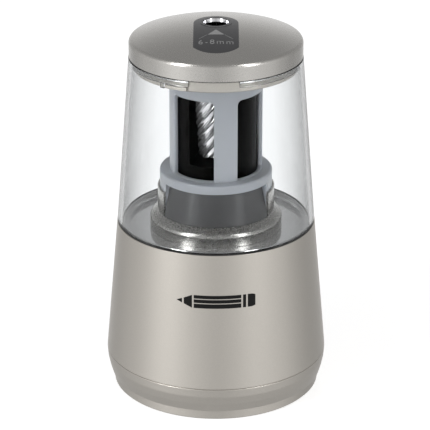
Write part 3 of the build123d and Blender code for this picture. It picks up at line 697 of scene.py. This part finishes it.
def cut_socket(piece, low, high):
    """Open the band's back for the power socket with a rounded slot, by a boolean that is then applied."""
    half, radius, margin, depths = 5.05, 1.2, 0.15, (33.0, 42.0)
    corner = np.linspace(0, np.pi / 2, 7)
    middle, rise = (low + high) / 2, (high - low) / 2 + margin
    ring = []
    for quarter, (sx, sz) in enumerate(((1, 1), (-1, 1), (-1, -1), (1, -1))):
        angle = corner + quarter * np.pi / 2
        x, z = sx * (half - radius), middle + sz * (rise - radius)
        ring += [(x + radius * math.cos(a), z + radius * math.sin(a)) for a in angle]
    ring = np.array(ring)
    rows = [np.column_stack([ring[:, 0], np.full(len(ring), y), ring[:, 1]]) for y in depths]
    count = len(ring)
    faces = [(j, (j + 1) % count, (j + 1) % count + count, j + count) for j in range(count)]
    faces += [tuple(range(count))[::-1], tuple(range(count, 2 * count))]
    mesh = bpy.data.meshes.new("slot_tool")
    mesh.from_pydata((np.vstack(rows) * MM).tolist(), [], faces)
    tool = bpy.data.objects.new("slot_tool", mesh)
    bpy.context.scene.collection.objects.link(tool)
    cut = piece.modifiers.new("slot", "BOOLEAN")
    cut.operation = "DIFFERENCE"
    cut.object = tool
    cut.solver = "EXACT"
    bpy.context.view_layer.objects.active = piece
    bpy.ops.object.modifier_apply(modifier=cut.name)
    bpy.data.objects.remove(tool)


class SharpenerBase(bpy.types.Operator):
    """Make the base cover, battery door, feet and power socket"""

    bl_idname = "sharpener.base"
    bl_label = "Base"

    def execute(self, context):
        size = sizes()
        cover = merged_copy("base_cover", "base", "cover", size["fine_edge"])
        cover.data.materials.append(finish("body"))
        radius = rim("base_cover", span("base_cover")[1])
        for face in cover.data.polygons:
            if abs(face.normal.z) < 0.8 and face.center.xy.length / MM > radius - 1:
                face.material_index = 1
        merged_copy("battery_door", "door", "cover", size["fine_edge"])
        merged_copy("power_socket", "base", "nickel", size["fine_edge"])
        low, high = span("rubber_feet")
        points = node_points("rubber_feet")
        shells = []
        for sx, sy in ((1, 1), (-1, 1), (-1, -1), (1, -1)):
            near = points[(points[:, 0] * sx > 0) & (points[:, 1] * sy > 0)]
            middle = (near.max(axis=0) + near.min(axis=0)) / 2
            radius = (near[:, 0].max() - near[:, 0].min()) / 2
            foot = [(0, low + 0.35, 0), (radius - 1.3, low + 0.35, 0.3), (radius - 1.0, low, 0.2),
                    (radius, low, 0.35), (radius, high, 0.1), (0, high, 0)]
            shells.append(moved(disc(foot), (middle[0], middle[1], 0)))
        make_skin("rubber_feet", shells, "base", "rubber")
        return {"FINISHED"}


# ---- bin and lid -------------------------------------------------------------
class SharpenerBin(bpy.types.Operator):
    """Make the clear bin with its bayonet ribs and stops"""

    bl_idname = "sharpener.bin"
    bl_label = "Clear bin"

    def execute(self, context):
        size = sizes()
        low, high = span("chip_container")
        foot, top = rim("chip_container", low), rim("chip_container", high - 0.3, reach=0.1)
        foot_in, top_in = foot - size["wall"], rim("chip_container", high - 0.3, True, reach=0.1)
        wall = [(foot, low, 0.3), (top, high, 0.4), (top_in, high, 0.4), (foot_in, low, 0.3)]

        def inner(z):
            return foot_in + (top_in - foot_in) * (z - low) / (high - low)

        shells = [turned(wall)]
        rib_in, rib_low, rib_high = rib_sizes()
        gap = 0.01
        stop_low = rib_low - STOP_DROP
        rib = [(rib_in, rib_low, 0.25), (inner(rib_low) - gap, rib_low, 0.05),
               (inner(rib_high) - gap, rib_high, 0.05), (rib_in, rib_high, 0.25)]
        stop = [(rib_in, stop_low, 0.25), (inner(stop_low) - gap, stop_low, 0.05),
                (inner(rib_low) - gap, rib_low - gap, 0.05), (rib_in, rib_low - gap, 0.05)]
        for index in range(BAYONETS):
            start = RIB_START + 360 / BAYONETS * index
            shells += [turned(rib, start, RIB_ARC), turned(stop, start + RIB_ARC - STOP_BACK, STOP_ARC)]
        make_skin("chip_container", shells, "container", "clear")
        return {"FINISHED"}


def rib_sizes():
    """Inner radius, foot and top of the bin's bayonet ribs, from the CAD bin's innermost vertices."""
    points = node_points("chip_container")
    upper = points[points[:, 2] > 110]
    radii = np.hypot(upper[:, 0], upper[:, 1])
    ribs = upper[radii < radii.min() + 0.02]
    top = float(ribs[:, 2].max())
    return float(radii.min()), top - RIB_HEIGHT, top


def lid_facts():
    """Radius of the lid's side, the height of its foot, and the radius and height of the dome's edge."""
    low, _ = span("lid_shell")
    side = rim("lid_shell", low)
    points = node_points("lid_shell")
    radii = np.hypot(points[:, 0], points[:, 1])
    edge = side - DOME_INSET
    near = points[np.abs(radii - edge) < 0.12]
    return side, low, edge, float(near[:, 2].max())


def dome_z(radius):
    """Height of the dome at a radius: a sphere through its edge circle and its top."""
    _, _, edge, edge_z = lid_facts()
    top = span("guide_sleeve")[1] - SLEEVE_LIFT
    rise = top - edge_z
    sphere = (edge**2 + rise**2) / (2 * rise)
    return top - sphere + np.sqrt(sphere**2 - radius**2)


def on_dome(flat, lift):
    """Points (x, y) raised onto the dome and lifted by a distance."""
    height = dome_z(np.hypot(flat[..., 0], flat[..., 1])) + lift
    return np.concatenate([flat, height[..., None]], -1)


class SharpenerLid(bpy.types.Operator):
    """Make the domed lid, its bayonet ring and the guide sleeve"""

    bl_idname = "sharpener.lid"
    bl_label = "Lid"

    def execute(self, context):
        size = sizes()
        side, low, edge, edge_z = lid_facts()
        hole, wall = rim("guide_sleeve", 125, reach=6), size["dome_wall"]
        crown = np.linspace(edge - CROWN_INSET, hole, 22)
        heights = dome_z(crown)
        fall = (heights[1] - heights[0]) / (crown[0] - crown[1])
        outer = [(side, low, 0.2), (side, heights[0] - fall * (side - crown[0]), LID_FILLET)]
        outer += [(r, z, 0.1) for r, z in zip(crown, heights)]
        inner = [(r, z - wall, 0.1) for r, z in zip(crown[:1:-1], heights[:1:-1])]
        inner += [(side - wall, edge_z - wall - 0.4, 1.2), (side - wall, low, 0.2)]
        make_skin("lid_shell", [turned(outer + inner)], "lid", "lid")

        low, high = span("lid_ring")
        outer_r, seat = rim("lid_ring", low), rim("lid_ring", high)
        step = span("lid_shell")[0] + 0.4
        ring = [(outer_r - 1, low, 0.2), (outer_r, low, 0.3), (outer_r, step, 0.1), (seat, step + 0.2, 0.1),
                (seat, high, 0.1), (outer_r - 1, high, 0.1)]
        lug_out = float(np.hypot(*node_points("lid_ring")[:, :2].T).max())
        lug_low, lug_high = low + LUG_Z[0], low + LUG_Z[1]
        lug = [(outer_r - 0.5, lug_low, 0.1), (lug_out, lug_low, 0.25), (lug_out, lug_high, 0.25),
               (outer_r - 0.5, lug_high, 0.1)]
        shells = [turned(ring)]
        for index in range(BAYONETS):
            start = RIB_START + RIB_ARC - LUG_ARC - LUG_GAP + 360 / BAYONETS * index
            shells.append(turned(lug, start, LUG_ARC))
        make_skin("lid_ring", shells, "lid", "lid_ring")

        low, high = span("guide_sleeve")
        flange, mouth = rims("guide_sleeve", high)
        bore, seat = rim("guide_sleeve", low, True), high - FLANGE_DEPTH
        lip, shade_gap = high - 0.12, 0.14
        tube = [(hole, low, 0.15), (hole, seat, 0.05), (mouth + 0.05, seat, 0.02), (mouth + 0.05, lip, 0.02),
                (mouth, lip, 0.03), (bore, high - MOUTH_DEPTH, 0.25), (bore, low, 0.3)]
        make_skin("guide_sleeve", [turned(tube)], "lid", "chrome")
        collar = [(mouth + shade_gap, seat, 0.02), (flange, seat, 0.02), (flange, high, 0.12),
                  (mouth + shade_gap, high, 0.05)]
        make_piece("guide_flange", [turned(collar)], "lid", [], finish("label"))
        return {"FINISHED"}


def label_outline(half, front, bulge, steps):
    """Plate outline from its middle line: half circle behind the hole, straight sides, arched front.

    Points run clockwise from the back, spaced evenly along each stretch.
    """
    back = np.linspace(0, np.pi, steps)
    line = [(half * math.cos(a), half * math.sin(a)) for a in back]
    spread = math.asin(half / bulge)
    sides = front - bulge * math.cos(spread)
    line += [(-half, y) for y in np.linspace(0, sides, steps // 2)[1:-1]]
    line += [(bulge * math.sin(a), front - bulge * math.cos(a)) for a in np.linspace(-spread, spread, steps)]
    line += [(half, y) for y in np.linspace(sides, 0, steps // 2)[1:-1]]
    return np.array(line)


class SharpenerLabel(bpy.types.Operator):
    """Make the label plate with its arrow, chevron and size marking"""

    bl_idname = "sharpener.label"
    bl_label = "Label plate"

    def execute(self, context):
        size = sizes()
        low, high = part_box("label_plate")
        half, reach = high.x / MM, -low.y / MM
        hole = rim("guide_sleeve", span("guide_sleeve")[1])
        outline = label_outline(half, PLATE_BULGE - reach, PLATE_BULGE, 48)
        angle = np.arctan2(outline[:, 1], outline[:, 0])
        inner = np.stack([hole * np.cos(angle), hole * np.sin(angle)], -1)
        proud = size["plate_proud"]
        rings = []
        sunk, rounding = -0.45, 0.14
        for inset, lift in ((0.0, sunk), (0.0, proud - 0.12), (0.05, proud - 0.04), (rounding, proud)):
            rings.append(on_dome(outline * (1 - inset / half), lift))
        start = outline * (1 - rounding / half)
        for share in np.linspace(0, 1, 14)[1:]:
            rings.append(on_dome(start + (inner - start) * share, proud))
        rings.append(on_dome(inner, sunk))
        points = np.stack(rings).reshape(-1, 3)
        quads = grid_faces(len(rings), len(outline), True, True)
        test = quads[len(rings) // 2 * len(outline)]
        if face_normal(points, test)[2] < 0:
            quads = quads[:, ::-1]
        shell = points, [tuple(quad) for quad in quads.tolist()], None
        make_skin("label_plate", [shell], "lid", "label", crease=40)

        prints = [flat_patch(shape, proud) for shape in arrow_shapes()]
        make_piece("label_arrow", prints, "lid", [], finish("print"), crease=30)
        size_marking(proud)
        return {"FINISHED"}


def arrow_shapes():
    """Arrow head that points at the hole, and the two thin legs of the wider chevron behind it."""
    tip, base, wing = -7.7, -11.5, 2.7
    outer_x, outer_y, width = 5.6, -14.2, 0.2
    head = [[(-0.01, tip), (0.01, tip)], [(-wing, base), (wing, base)]]
    legs = []
    for side in (-1, 1):
        legs.append([[(side * (wing + 0.3), base - 0.1), (side * (wing + 0.3), base - 0.1 - width)],
                     [(side * outer_x, outer_y), (side * outer_x, outer_y - width)]])
    return [head] + legs


def flat_patch(shape, proud):
    """Thin printed patch on the plate between two edges, each given by its two ends."""
    (a, b), (c, d) = [[np.array(point) for point in edge] for edge in shape]
    along, across = np.linspace(0, 1, 13)[:, None, None], np.linspace(0, 1, 9)[None, :, None]
    flat = (1 - along) * ((1 - across) * a + across * b) + along * ((1 - across) * c + across * d)
    return slab(on_dome(flat, proud + PRINT_LIFT), on_dome(flat, proud - PRINT_LIFT))


def size_marking(proud):
    """Pencil sizes as raised print, bent onto the dome."""
    text = bpy.data.curves.new("size_marking", "FONT")
    text.body = MARKING
    text.align_x, text.align_y = "CENTER", "CENTER"
    text.extrude = 0.5
    text.space_character = 1.25
    text.offset = -0.012
    holder = bpy.data.objects.new("size_marking_curve", text)
    bpy.context.scene.collection.objects.link(holder)
    bpy.context.view_layer.update()
    mesh = bpy.data.meshes.new_from_object(holder.evaluated_get(bpy.context.evaluated_depsgraph_get()))
    bpy.data.objects.remove(holder)
    flat = np.empty(len(mesh.vertices) * 3)
    mesh.vertices.foreach_get("co", flat)
    flat = flat.reshape(-1, 3)
    factor = MARKING_WIDTH / (flat[:, 0].max() - flat[:, 0].min())
    spots = np.stack([flat[:, 0] * factor, flat[:, 1] * factor * MARKING_STRETCH + MARKING_Y], -1)
    raised = on_dome(spots, proud)
    raised[:, 2] += np.sign(flat[:, 2]) * PRINT_LIFT
    mesh.vertices.foreach_set("co", (raised * MM).reshape(-1))
    mesh.update()
    mesh.name = "size_marking"
    joined(mesh, 1e-6, recalculated=True)
    piece = placed("size_marking", mesh, finish("print"))
    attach(piece, "lid")


# ---- tray, pedestal and housing ----------------------------------------------
class SharpenerTray(bpy.types.Operator):
    """Make the glossy tray, the pedestal, its collar and the gear housing"""

    bl_idname = "sharpener.tray"
    bl_label = "Tray and pedestal"

    def execute(self, context):
        size = sizes()
        fine = size["fine_edge"]
        low, high = span("chip_tray")
        well = rim("chip_tray", low, True)
        rim_out, rim_in = rims("chip_tray", high)
        floor = span("pedestal")[0]
        tray = [(well, low, 0.1), (rim_out, low, 0.4), (rim_out, high, 0.25), (rim_in, high, 0.25),
                (rim_in, floor, 1.5), (well, floor, 0.1)]
        make_skin("chip_tray", [turned(tray)], "base", "tray")

        low, high = span("pedestal")
        foot, well = rims("pedestal", low)
        top_out, mouth = rims("pedestal", high)
        edge = high - SHOULDER
        wall = [(foot, low, 0.15), (foot, edge, 2.2), (top_out, high, 0.3), (mouth, high, fine),
                (mouth, high - 1.4, fine), (well, edge - 1.3, fine), (well, low, fine)]
        make_skin("pedestal", [turned(wall)], "base", "pedestal")

        low, high = span("collar")
        outer, inner = rims("collar", low)
        start = notch_half("collar")
        wall = [(outer, low, 0.05), (outer, high, 0.3), (inner, high, 0.15), (inner, low, 0.05)]
        make_skin("collar", [turned(wall, start, 360 - 2 * start)], "base", "pedestal")

        low, high = span("gear_housing")
        bore, outer, inside = rim("gear_housing", high, True), HOUSING_RADIUS, HOUSING_RADIUS - 0.8
        wall = [(outer, low, fine), (outer, high, fine), (bore, high, fine), (bore, low, fine)]
        panel_foot, panel_top = rim("gear_housing", low), rim("gear_housing", high)
        panel = [(inside, low, 0.05), (panel_foot, low, 0.15), (panel_top, high, 0.15), (inside, high, 0.05)]
        half = notch_half("collar") - 0.7
        shells = [turned(wall), turned(panel, -half, 2 * half)]
        make_skin("gear_housing", shells, "base", "housing")
        return {"FINISHED"}


def notch_half(node):
    """Azimuth at which a C-shaped node's opening ends."""
    points = node_points(node)
    return float(np.degrees(np.min(np.abs(np.arctan2(points[:, 0], -points[:, 1])))))


# ---- cage --------------------------------------------------------------------
def window_corners(half, low, high, corner, inset):
    """Window outline in arc length and height, drawn in by an inset: square feet and rounded top corners."""
    half, low, high, corner = half + inset, low - inset, high + inset, corner + inset
    foot = 0.25 + inset
    corners = ((half - foot, low + foot, foot, -90), (half - corner, high - corner, corner, 0),
               (corner - half, high - corner, corner, 90), (foot - half, low + foot, foot, 180))
    line = []
    for cx, cz, radius, first in corners:
        angles = np.radians(np.linspace(first, first + 90, 13))
        line += [(cx + radius * math.cos(a), cz + radius * math.sin(a)) for a in angles]
    return np.array(line)


def window_ring(angles, half, low, high, corner, inset, centre):
    """Window outline read at given directions from its centre, by interpolating its polar radius."""
    line = window_corners(half, low, high, corner, inset)
    dense = []
    for a, b in zip(line, np.roll(line, -1, axis=0)):
        dense.append(a + (b - a) * np.linspace(0, 1, 60, endpoint=False)[:, None])
    dense = np.vstack(dense) - centre
    polar = np.arctan2(dense[:, 1], dense[:, 0])
    order = np.argsort(polar)
    reach = np.interp(angles, polar[order], np.hypot(*dense[order].T), period=2 * np.pi)
    return centre + np.stack([reach * np.cos(angles), reach * np.sin(angles)], -1)


def frame_ring(angles, half, low, high, centre):
    """Edge of the wall panel read at the same directions: a ray stops at the first side it meets."""
    cosine, sine = np.cos(angles), np.sin(angles)
    with np.errstate(divide="ignore"):
        across = half / np.abs(cosine)
        up = np.where(sine > 0, high - centre[1], centre[1] - low) / np.abs(sine)
    reach = np.minimum(across, up)
    ring = centre + np.stack([reach * cosine, reach * sine], -1)
    ring[across < up, 0] = np.sign(cosine[across < up]) * half
    return ring


def cage_shells(size):
    """Cage wall as four window panels, closed above by a rim and below by the flange and skirt.

    A panel is a grid: directions from the window's centre, by a cross-section that runs from the panel's
    edge over the outer face, round the reveal and back along the inner face.
    """
    low, high = span("cutter_cage")
    wall_out, wall_in, flange_out = rim("cutter_cage", high), CAGE_BORE, rim("cutter_cage", low)
    flange_low, flange_high = FLANGE_Z
    half_panel = math.radians(180 / STRUTS) * wall_out
    half_window = math.radians(WINDOW_HALF) * wall_out
    centre = np.array([0.0, sum(WINDOW_Z) / 2])
    panel_top, corner, reveal = high - 0.4, size["window_corner"], size["reveal"]

    def window(inset):
        return window_ring(angles, half_window, *WINDOW_Z, corner, inset, centre)

    corner_angles = [math.atan2(z - centre[1], x) for x, z in
                     ((half_panel, PANEL_FOOT), (half_panel, panel_top), (half_window, WINDOW_Z[0]))]
    bends = window_corners(half_window, *WINDOW_Z, corner, 0)[13:26:2] - centre
    quarter = np.concatenate([np.linspace(-np.pi / 2, np.pi / 2, 97), corner_angles,
                              np.arctan2(bends[:, 1], bends[:, 0])])
    quarter = np.unique(np.round(quarter, 9))
    angles = np.concatenate([quarter, np.pi - quarter[::-1][1:-1]])
    edge = frame_ring(angles, half_panel, PANEL_FOOT, panel_top, centre)
    section = [(edge, wall_out)]
    near = window(reveal)
    section += [(edge + (near - edge) * share, wall_out) for share in (0.35, 0.7, 0.93)]
    for turn in np.radians([0, 22.5, 45, 67.5, 90]):
        section.append((window(reveal * (1 - math.sin(turn))), wall_out - reveal * (1 - math.cos(turn))))
    inner_reveal = reveal * 0.6
    for turn in np.radians([90, 60, 30, 0]):
        radius = wall_in + inner_reveal * (1 - math.cos(turn))
        section.append((window(inner_reveal * (1 - math.sin(turn))), radius))
    section += [(edge + (section[-1][0] - edge) * share, wall_in) for share in (0.93, 0.7, 0.35, 0.0)]
    middles = [math.radians(STRUT_AZIMUTH + (index + 0.5) * 360 / STRUTS) for index in range(STRUTS)]
    shells = []
    count = len(angles)
    for middle in middles:
        grid = []
        for ring, radius in section:
            azimuth = ring[:, 0] / wall_out + middle
            grid.append(np.stack([radius * np.sin(azimuth), -radius * np.cos(azimuth), ring[:, 1]], -1))
        points = np.stack(grid).reshape(-1, 3)
        quads = grid_faces(len(section), count, False, True)
        outward = points[quads[0][0]] * (1, 1, 0)
        if face_normal(points, quads[count + 3]) @ outward < 0:
            quads = quads[:, ::-1]
        shells.append((points, [tuple(quad) for quad in quads.tolist()], None))
    foot_x = np.unique(np.round(edge[np.abs(edge[:, 1] - PANEL_FOOT) < 1e-6, 0], 9))
    top_x = np.unique(np.round(edge[np.abs(edge[:, 1] - panel_top) < 1e-6, 0], 9))
    bottom = [(wall_out, PANEL_FOOT, 0), (wall_out, flange_high, 0.12), (flange_out, flange_high, 0.8),
              (flange_out, flange_low, 0.06), (wall_in, flange_low, 0.1), (wall_in, PANEL_FOOT, 0)]
    upper = [(wall_in, panel_top, 0), (wall_in, high, 0.25), (wall_out, high, 0.25),
             (wall_out, panel_top, 0)]
    for corners, marks in ((bottom, foot_x), (upper, top_x)):
        around = np.concatenate([marks[:-1] / wall_out + middle for middle in middles])
        shells.append(turned(corners, closed=False, azimuths=around))
    start = notch_half("collar") - 0.3
    skirt_top = flange_low + 0.03
    skirt = [(flange_out, low, 0.3), (flange_out, skirt_top, 0.02), (SKIRT_BORE, skirt_top, 0.02),
             (SKIRT_BORE, low, 0.2)]
    shells.append(turned(skirt, start, 360 - 2 * start))
    return shells


class SharpenerCage(bpy.types.Operator):
    """Make the milky cutter cage and its cap"""

    bl_idname = "sharpener.cage"
    bl_label = "Cutter cage"

    def execute(self, context):
        size = sizes()
        piece = make_skin("cutter_cage", cage_shells(size), "base", "cage", crease=35)
        joined(piece.data, 4e-7)
        piece.data.set_sharp_from_angle(angle=math.radians(35))
        low, high = span("cage_cap")
        outer, inner = rims("cage_cap", high)
        cap = [(outer, low, 0.05), (outer, high, 0.3), (inner, high, 0.2), (inner, low, 0.05)]
        make_skin("cage_cap", [turned(cap)], "base", "cage")
        return {"FINISHED"}


# ---- cutter ------------------------------------------------------------------
def cutter_profile(angles, teeth, tip, root):
    """Radius of the cutter's section: a hooked flute, then a land with a shallow relief."""
    share = (angles * teeth / (2 * np.pi)) % 1.0
    return tip - (tip - root) * np.interp(share, FLUTE_MARKS, FLUTE_DEPTHS)


def cutter_shell(size, teeth):
    """Helical cutter: radius f(angle - 2 pi s / lead) along its axis s, with bevelled ends and a bore."""
    spin = joint("cutter_spin")
    axis = np.array(spin["axis"], float)
    origin = np.array(spin["pos_m"], float) / MM
    points = (node_points("helical_cutter") - origin) @ axis
    first, last = float(points.min()), float(points.max())
    around = 2 * np.pi * np.arange(teeth * 26) / (teeth * 26)
    along = np.linspace(first, last, 132)
    shift = 2 * np.pi * (along - first) / size["lead"]
    radius = cutter_profile(around[None, :] - shift[:, None], teeth, CUTTER_TIP, CUTTER_ROOT)
    room = np.minimum(along - first, last - along)
    limit = CUTTER_TIP - CUTTER_BEVEL + np.minimum(room, CUTTER_BEVEL)
    radius = np.minimum(radius, limit[:, None])
    grid = np.stack([radius * np.cos(around), radius * np.sin(around),
                     np.broadcast_to(along[:, None], radius.shape)], -1)
    bore = CUTTER_BORE * np.cos(around), CUTTER_BORE * np.sin(around)
    rings = [np.stack([*bore, np.full_like(around, s)], -1) for s in (last, first)]
    grid = np.concatenate([grid, [rings[0]], [rings[1]]])
    quads = grid_faces(len(grid), len(around), True, True)
    points = grid.reshape(-1, 3)
    test = quads[60 * len(around)]
    if face_normal(points, test) @ (points[test[0]] * (1, 1, 0)) < 0:
        quads = quads[:, ::-1]
    outward = np.array([origin[0], origin[1], 0.0])
    outward = outward / np.linalg.norm(outward)
    side = outward - axis * (outward @ axis)
    side = side / np.linalg.norm(side)
    basis = np.column_stack([side, np.cross(axis, side), axis])
    return moved((points, [tuple(quad) for quad in quads.tolist()], None), origin, basis)


class SharpenerCutter(bpy.types.Operator):
    """Make the helical cutter and the moulded carrier that holds it"""

    bl_idname = "sharpener.cutter"
    bl_label = "Cutter"

    def execute(self, context):
        shell = cutter_shell(sizes(), context.scene.sharpener_sizes.teeth)
        make_skin("helical_cutter", [shell], "cutter", "cutter", crease=32)
        merged_copy("cutter_carrier", "cutter_head", "black", 0.0)
        return {"FINISHED"}


# ---- inside ------------------------------------------------------------------
CARRIED = {
    "steel": ("base_screws", "door_hinge_pin", "motor_shaft", "idler_axle", "motor_plate", "motor_screws",
              "drive_shaft", "shaft_clip", "bearing_plate", "trigger_rod", "cutter_axle", "cutter_pinion"),
    "nickel": ("upper_contacts", "contact_springs", "motor_can"),
    "chassis": ("chassis", "ring_gear"),
    "black": ("board_components", "motor_end_cap", "start_switch"),
    "nylon": ("idler_gear", "output_gear", "switch_plunger"),
    "brass": ("motor_pinion", "shaft_bearing"),
    "ferrite": ("motor_magnets",),
    "copper": ("motor_armature",),
    "board": ("control_board",),
}


class SharpenerInside(bpy.types.Operator):
    """Finish the carried-over inner parts and make the battery cells"""

    bl_idname = "sharpener.inside"
    bl_label = "Inner parts"

    def execute(self, context):
        for name, nodes in CARRIED.items():
            for node in nodes:
                part = frame["nodes"][node]
                part.data.materials.clear()
                part.data.materials.append(finish(name))
        points = node_points("battery_cells")
        low, high = span("battery_cells")
        middle = (points[:, 0].min() + points[:, 0].max()) / 2
        shells = []
        for sx in (-1, 1):
            for sy in (-1, 1):
                near = points[(np.sign(points[:, 0] - middle) == sx) & (np.sign(points[:, 1]) == sy)]
                centre = (near.max(axis=0) + near.min(axis=0)) / 2
                radius = (near[:, 0].max() - near[:, 0].min()) / 2
                cell = [(0, high, 0), (2.7, high, 0.4), (2.7, high - 1, 0.2), (radius - 0.6, high - 1, 0.2),
                        (radius, high - 1.4, 0.4), (radius, low, 0.6), (0, low, 0)]
                if sx * sy < 0:
                    cell = [(r, low + high - z, round_by) for r, z, round_by in cell[::-1]]
                shells.append(moved(disc(cell), (centre[0], centre[1], 0)))
        make_skin("battery_cells", shells, "base", "cells")
        return {"FINISHED"}


# ---- stage -------------------------------------------------------------------
class SharpenerStage(bpy.types.Operator):
    """Set the camera, the soft studio light and the pale floor"""

    bl_idname = "sharpener.stage"
    bl_label = "Stage"

    def execute(self, context):
        scene = context.scene
        scene.view_settings.view_transform = "Standard"
        data = bpy.data.cameras.new("camera")
        data.lens, data.sensor_width = LENS, 36.0
        data.shift_x = SHIFT
        data.clip_end = 20
        camera = bpy.data.objects.new("camera", data)
        camera.location = CAMERA_PLACE
        camera.rotation_euler = (math.radians(90 - CAMERA_DIP), 0, 0)
        scene.collection.objects.link(camera)
        scene.camera = camera
        corners = [(x * FLOOR_REACH, y * FLOOR_REACH, 0) for x, y in ((-1, -1), (1, -1), (1, 1), (-1, 1))]
        floor_mesh = bpy.data.meshes.new("floor")
        floor_mesh.from_pydata(corners, [], [(0, 1, 2, 3)])
        floor = placed("floor", floor_mesh, pale_floor())
        floor.visible_glossy = False
        for name, azimuth, wide, power in LAMPS:
            lamp = bpy.data.lights.new(name, "AREA")
            lamp.shape = "RECTANGLE"
            lamp.size, lamp.size_y, lamp.energy = wide, LAMP_TALL, power
            light = bpy.data.objects.new(name, lamp)
            angle = math.radians(azimuth)
            light.location = (LAMP_DISTANCE * math.sin(angle), -LAMP_DISTANCE * math.cos(angle), LAMP_HEIGHT)
            aim = Vector(LAMP_AIM) - light.location
            light.rotation_euler = aim.to_track_quat("-Z", "Y").to_euler()
            scene.collection.objects.link(light)
        scene.world = studio_world()
        return {"FINISHED"}


def pale_floor():
    """Nearly white floor with a faint gloss and a little light of its own."""
    material, tree, shader = new_finish("pale_floor")
    grain = pattern(tree, "ShaderNodeTexNoise", 60, Detail=2.0)
    tree.links.new(ranged(tree, grain.outputs["Fac"], 0.16, 0.22), shader.inputs["Roughness"])
    fixed(shader, Base_Color=(0.80, 0.80, 0.80, 1), Emission_Color=(1, 1, 1, 1), Emission_Strength=0.6)
    return material


def toward(tree, colour, source, start, end, level):
    """A colour that eases to a grey level as the source goes from start to end."""
    share = tree.nodes.new("ShaderNodeMapRange")
    share.interpolation_type = "SMOOTHSTEP"
    share.inputs["From Min"].default_value = start
    share.inputs["From Max"].default_value = end
    tree.links.new(source, share.inputs["Value"])
    mix = tree.nodes.new("ShaderNodeMix")
    mix.data_type = "RGBA"
    mix.inputs["B"].default_value = (level, level, level, 1)
    tree.links.new(share.outputs["Result"], mix.inputs["Factor"])
    tree.links.new(colour, mix.inputs["A"])
    return mix.outputs["Result"]


def studio_world():
    """Soft surround: brightness follows the azimuth, and turns to plain greys overhead and underneath."""
    world = bpy.data.worlds.new("studio")
    world.use_nodes = True
    tree = world.node_tree
    place = tree.nodes.new("ShaderNodeTexCoord")
    axes = tree.nodes.new("ShaderNodeSeparateXYZ")
    tree.links.new(place.outputs["Generated"], axes.inputs["Vector"])
    minus = tree.nodes.new("ShaderNodeMath")
    minus.operation = "MULTIPLY"
    minus.inputs[1].default_value = -1
    tree.links.new(axes.outputs["Y"], minus.inputs[0])
    around = tree.nodes.new("ShaderNodeMath")
    around.operation = "ARCTAN2"
    tree.links.new(axes.outputs["X"], around.inputs[0])
    tree.links.new(minus.outputs["Value"], around.inputs[1])
    share = tree.nodes.new("ShaderNodeMapRange")
    share.inputs["From Min"].default_value = -math.pi
    share.inputs["From Max"].default_value = math.pi
    tree.links.new(around.outputs["Value"], share.inputs["Value"])
    ramp = tree.nodes.new("ShaderNodeValToRGB")
    ramp.color_ramp.interpolation = "EASE"
    elements = ramp.color_ramp.elements
    while len(elements) < len(SURROUND):
        elements.new(0.5)
    for element, (azimuth, level) in zip(elements, SURROUND):
        element.position = azimuth / 360 + 0.5
        element.color = (level, level, level, 1)
    tree.links.new(share.outputs["Result"], ramp.inputs["Fac"])
    shown = ramp.outputs["Color"]
    for start, end, level in (OVERHEAD, UNDERNEATH):
        shown = toward(tree, shown, axes.outputs["Z"], start, end, level)
    tree.links.new(shown, tree.nodes["Background"].inputs["Color"])
    tree.nodes["Background"].inputs["Strength"].default_value = 1.0
    return world


class SharpenerPanel(bpy.types.Panel):
    """Lists the makers and their settings"""

    bl_idname = "VIEW3D_PT_sharpener"
    bl_label = "Pencil Sharpener"
    bl_space_type = "VIEW_3D"
    bl_region_type = "UI"
    bl_category = "Sharpener"

    def draw(self, context):
        for maker in MAKERS:
            self.layout.operator(maker.bl_idname, text=maker.bl_label)
        for group in (context.scene.sharpener_sizes, context.scene.sharpener_colours):
            box = self.layout.box()
            for name in group.bl_rna.properties.keys():
                if name not in ("rna_type", "name"):
                    box.prop(group, name)


MAKERS = (SharpenerStage, SharpenerBody, SharpenerBase, SharpenerBin, SharpenerLid, SharpenerLabel,
          SharpenerTray, SharpenerCage, SharpenerCutter, SharpenerInside)
CLASSES = (SharpenerSizes, SharpenerColours, *MAKERS, SharpenerPanel)


def register():
    for item in CLASSES:
        bpy.utils.register_class(item)
    bpy.types.Scene.sharpener_sizes = bpy.props.PointerProperty(type=SharpenerSizes)
    bpy.types.Scene.sharpener_colours = bpy.props.PointerProperty(type=SharpenerColours)


def unregister():
    del bpy.types.Scene.sharpener_colours
    del bpy.types.Scene.sharpener_sizes
    for item in reversed(CLASSES):
        bpy.utils.unregister_class(item)


def main():
    """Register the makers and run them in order."""
    register()
    for maker in MAKERS:
        group, name = maker.bl_idname.split(".")
        if getattr(getattr(bpy.ops, group), name)() != {"FINISHED"}:
            raise RuntimeError(f"{maker.bl_label} didn't finish")
    bpy.context.view_layer.update()


if __name__ == "__main__":
    main()
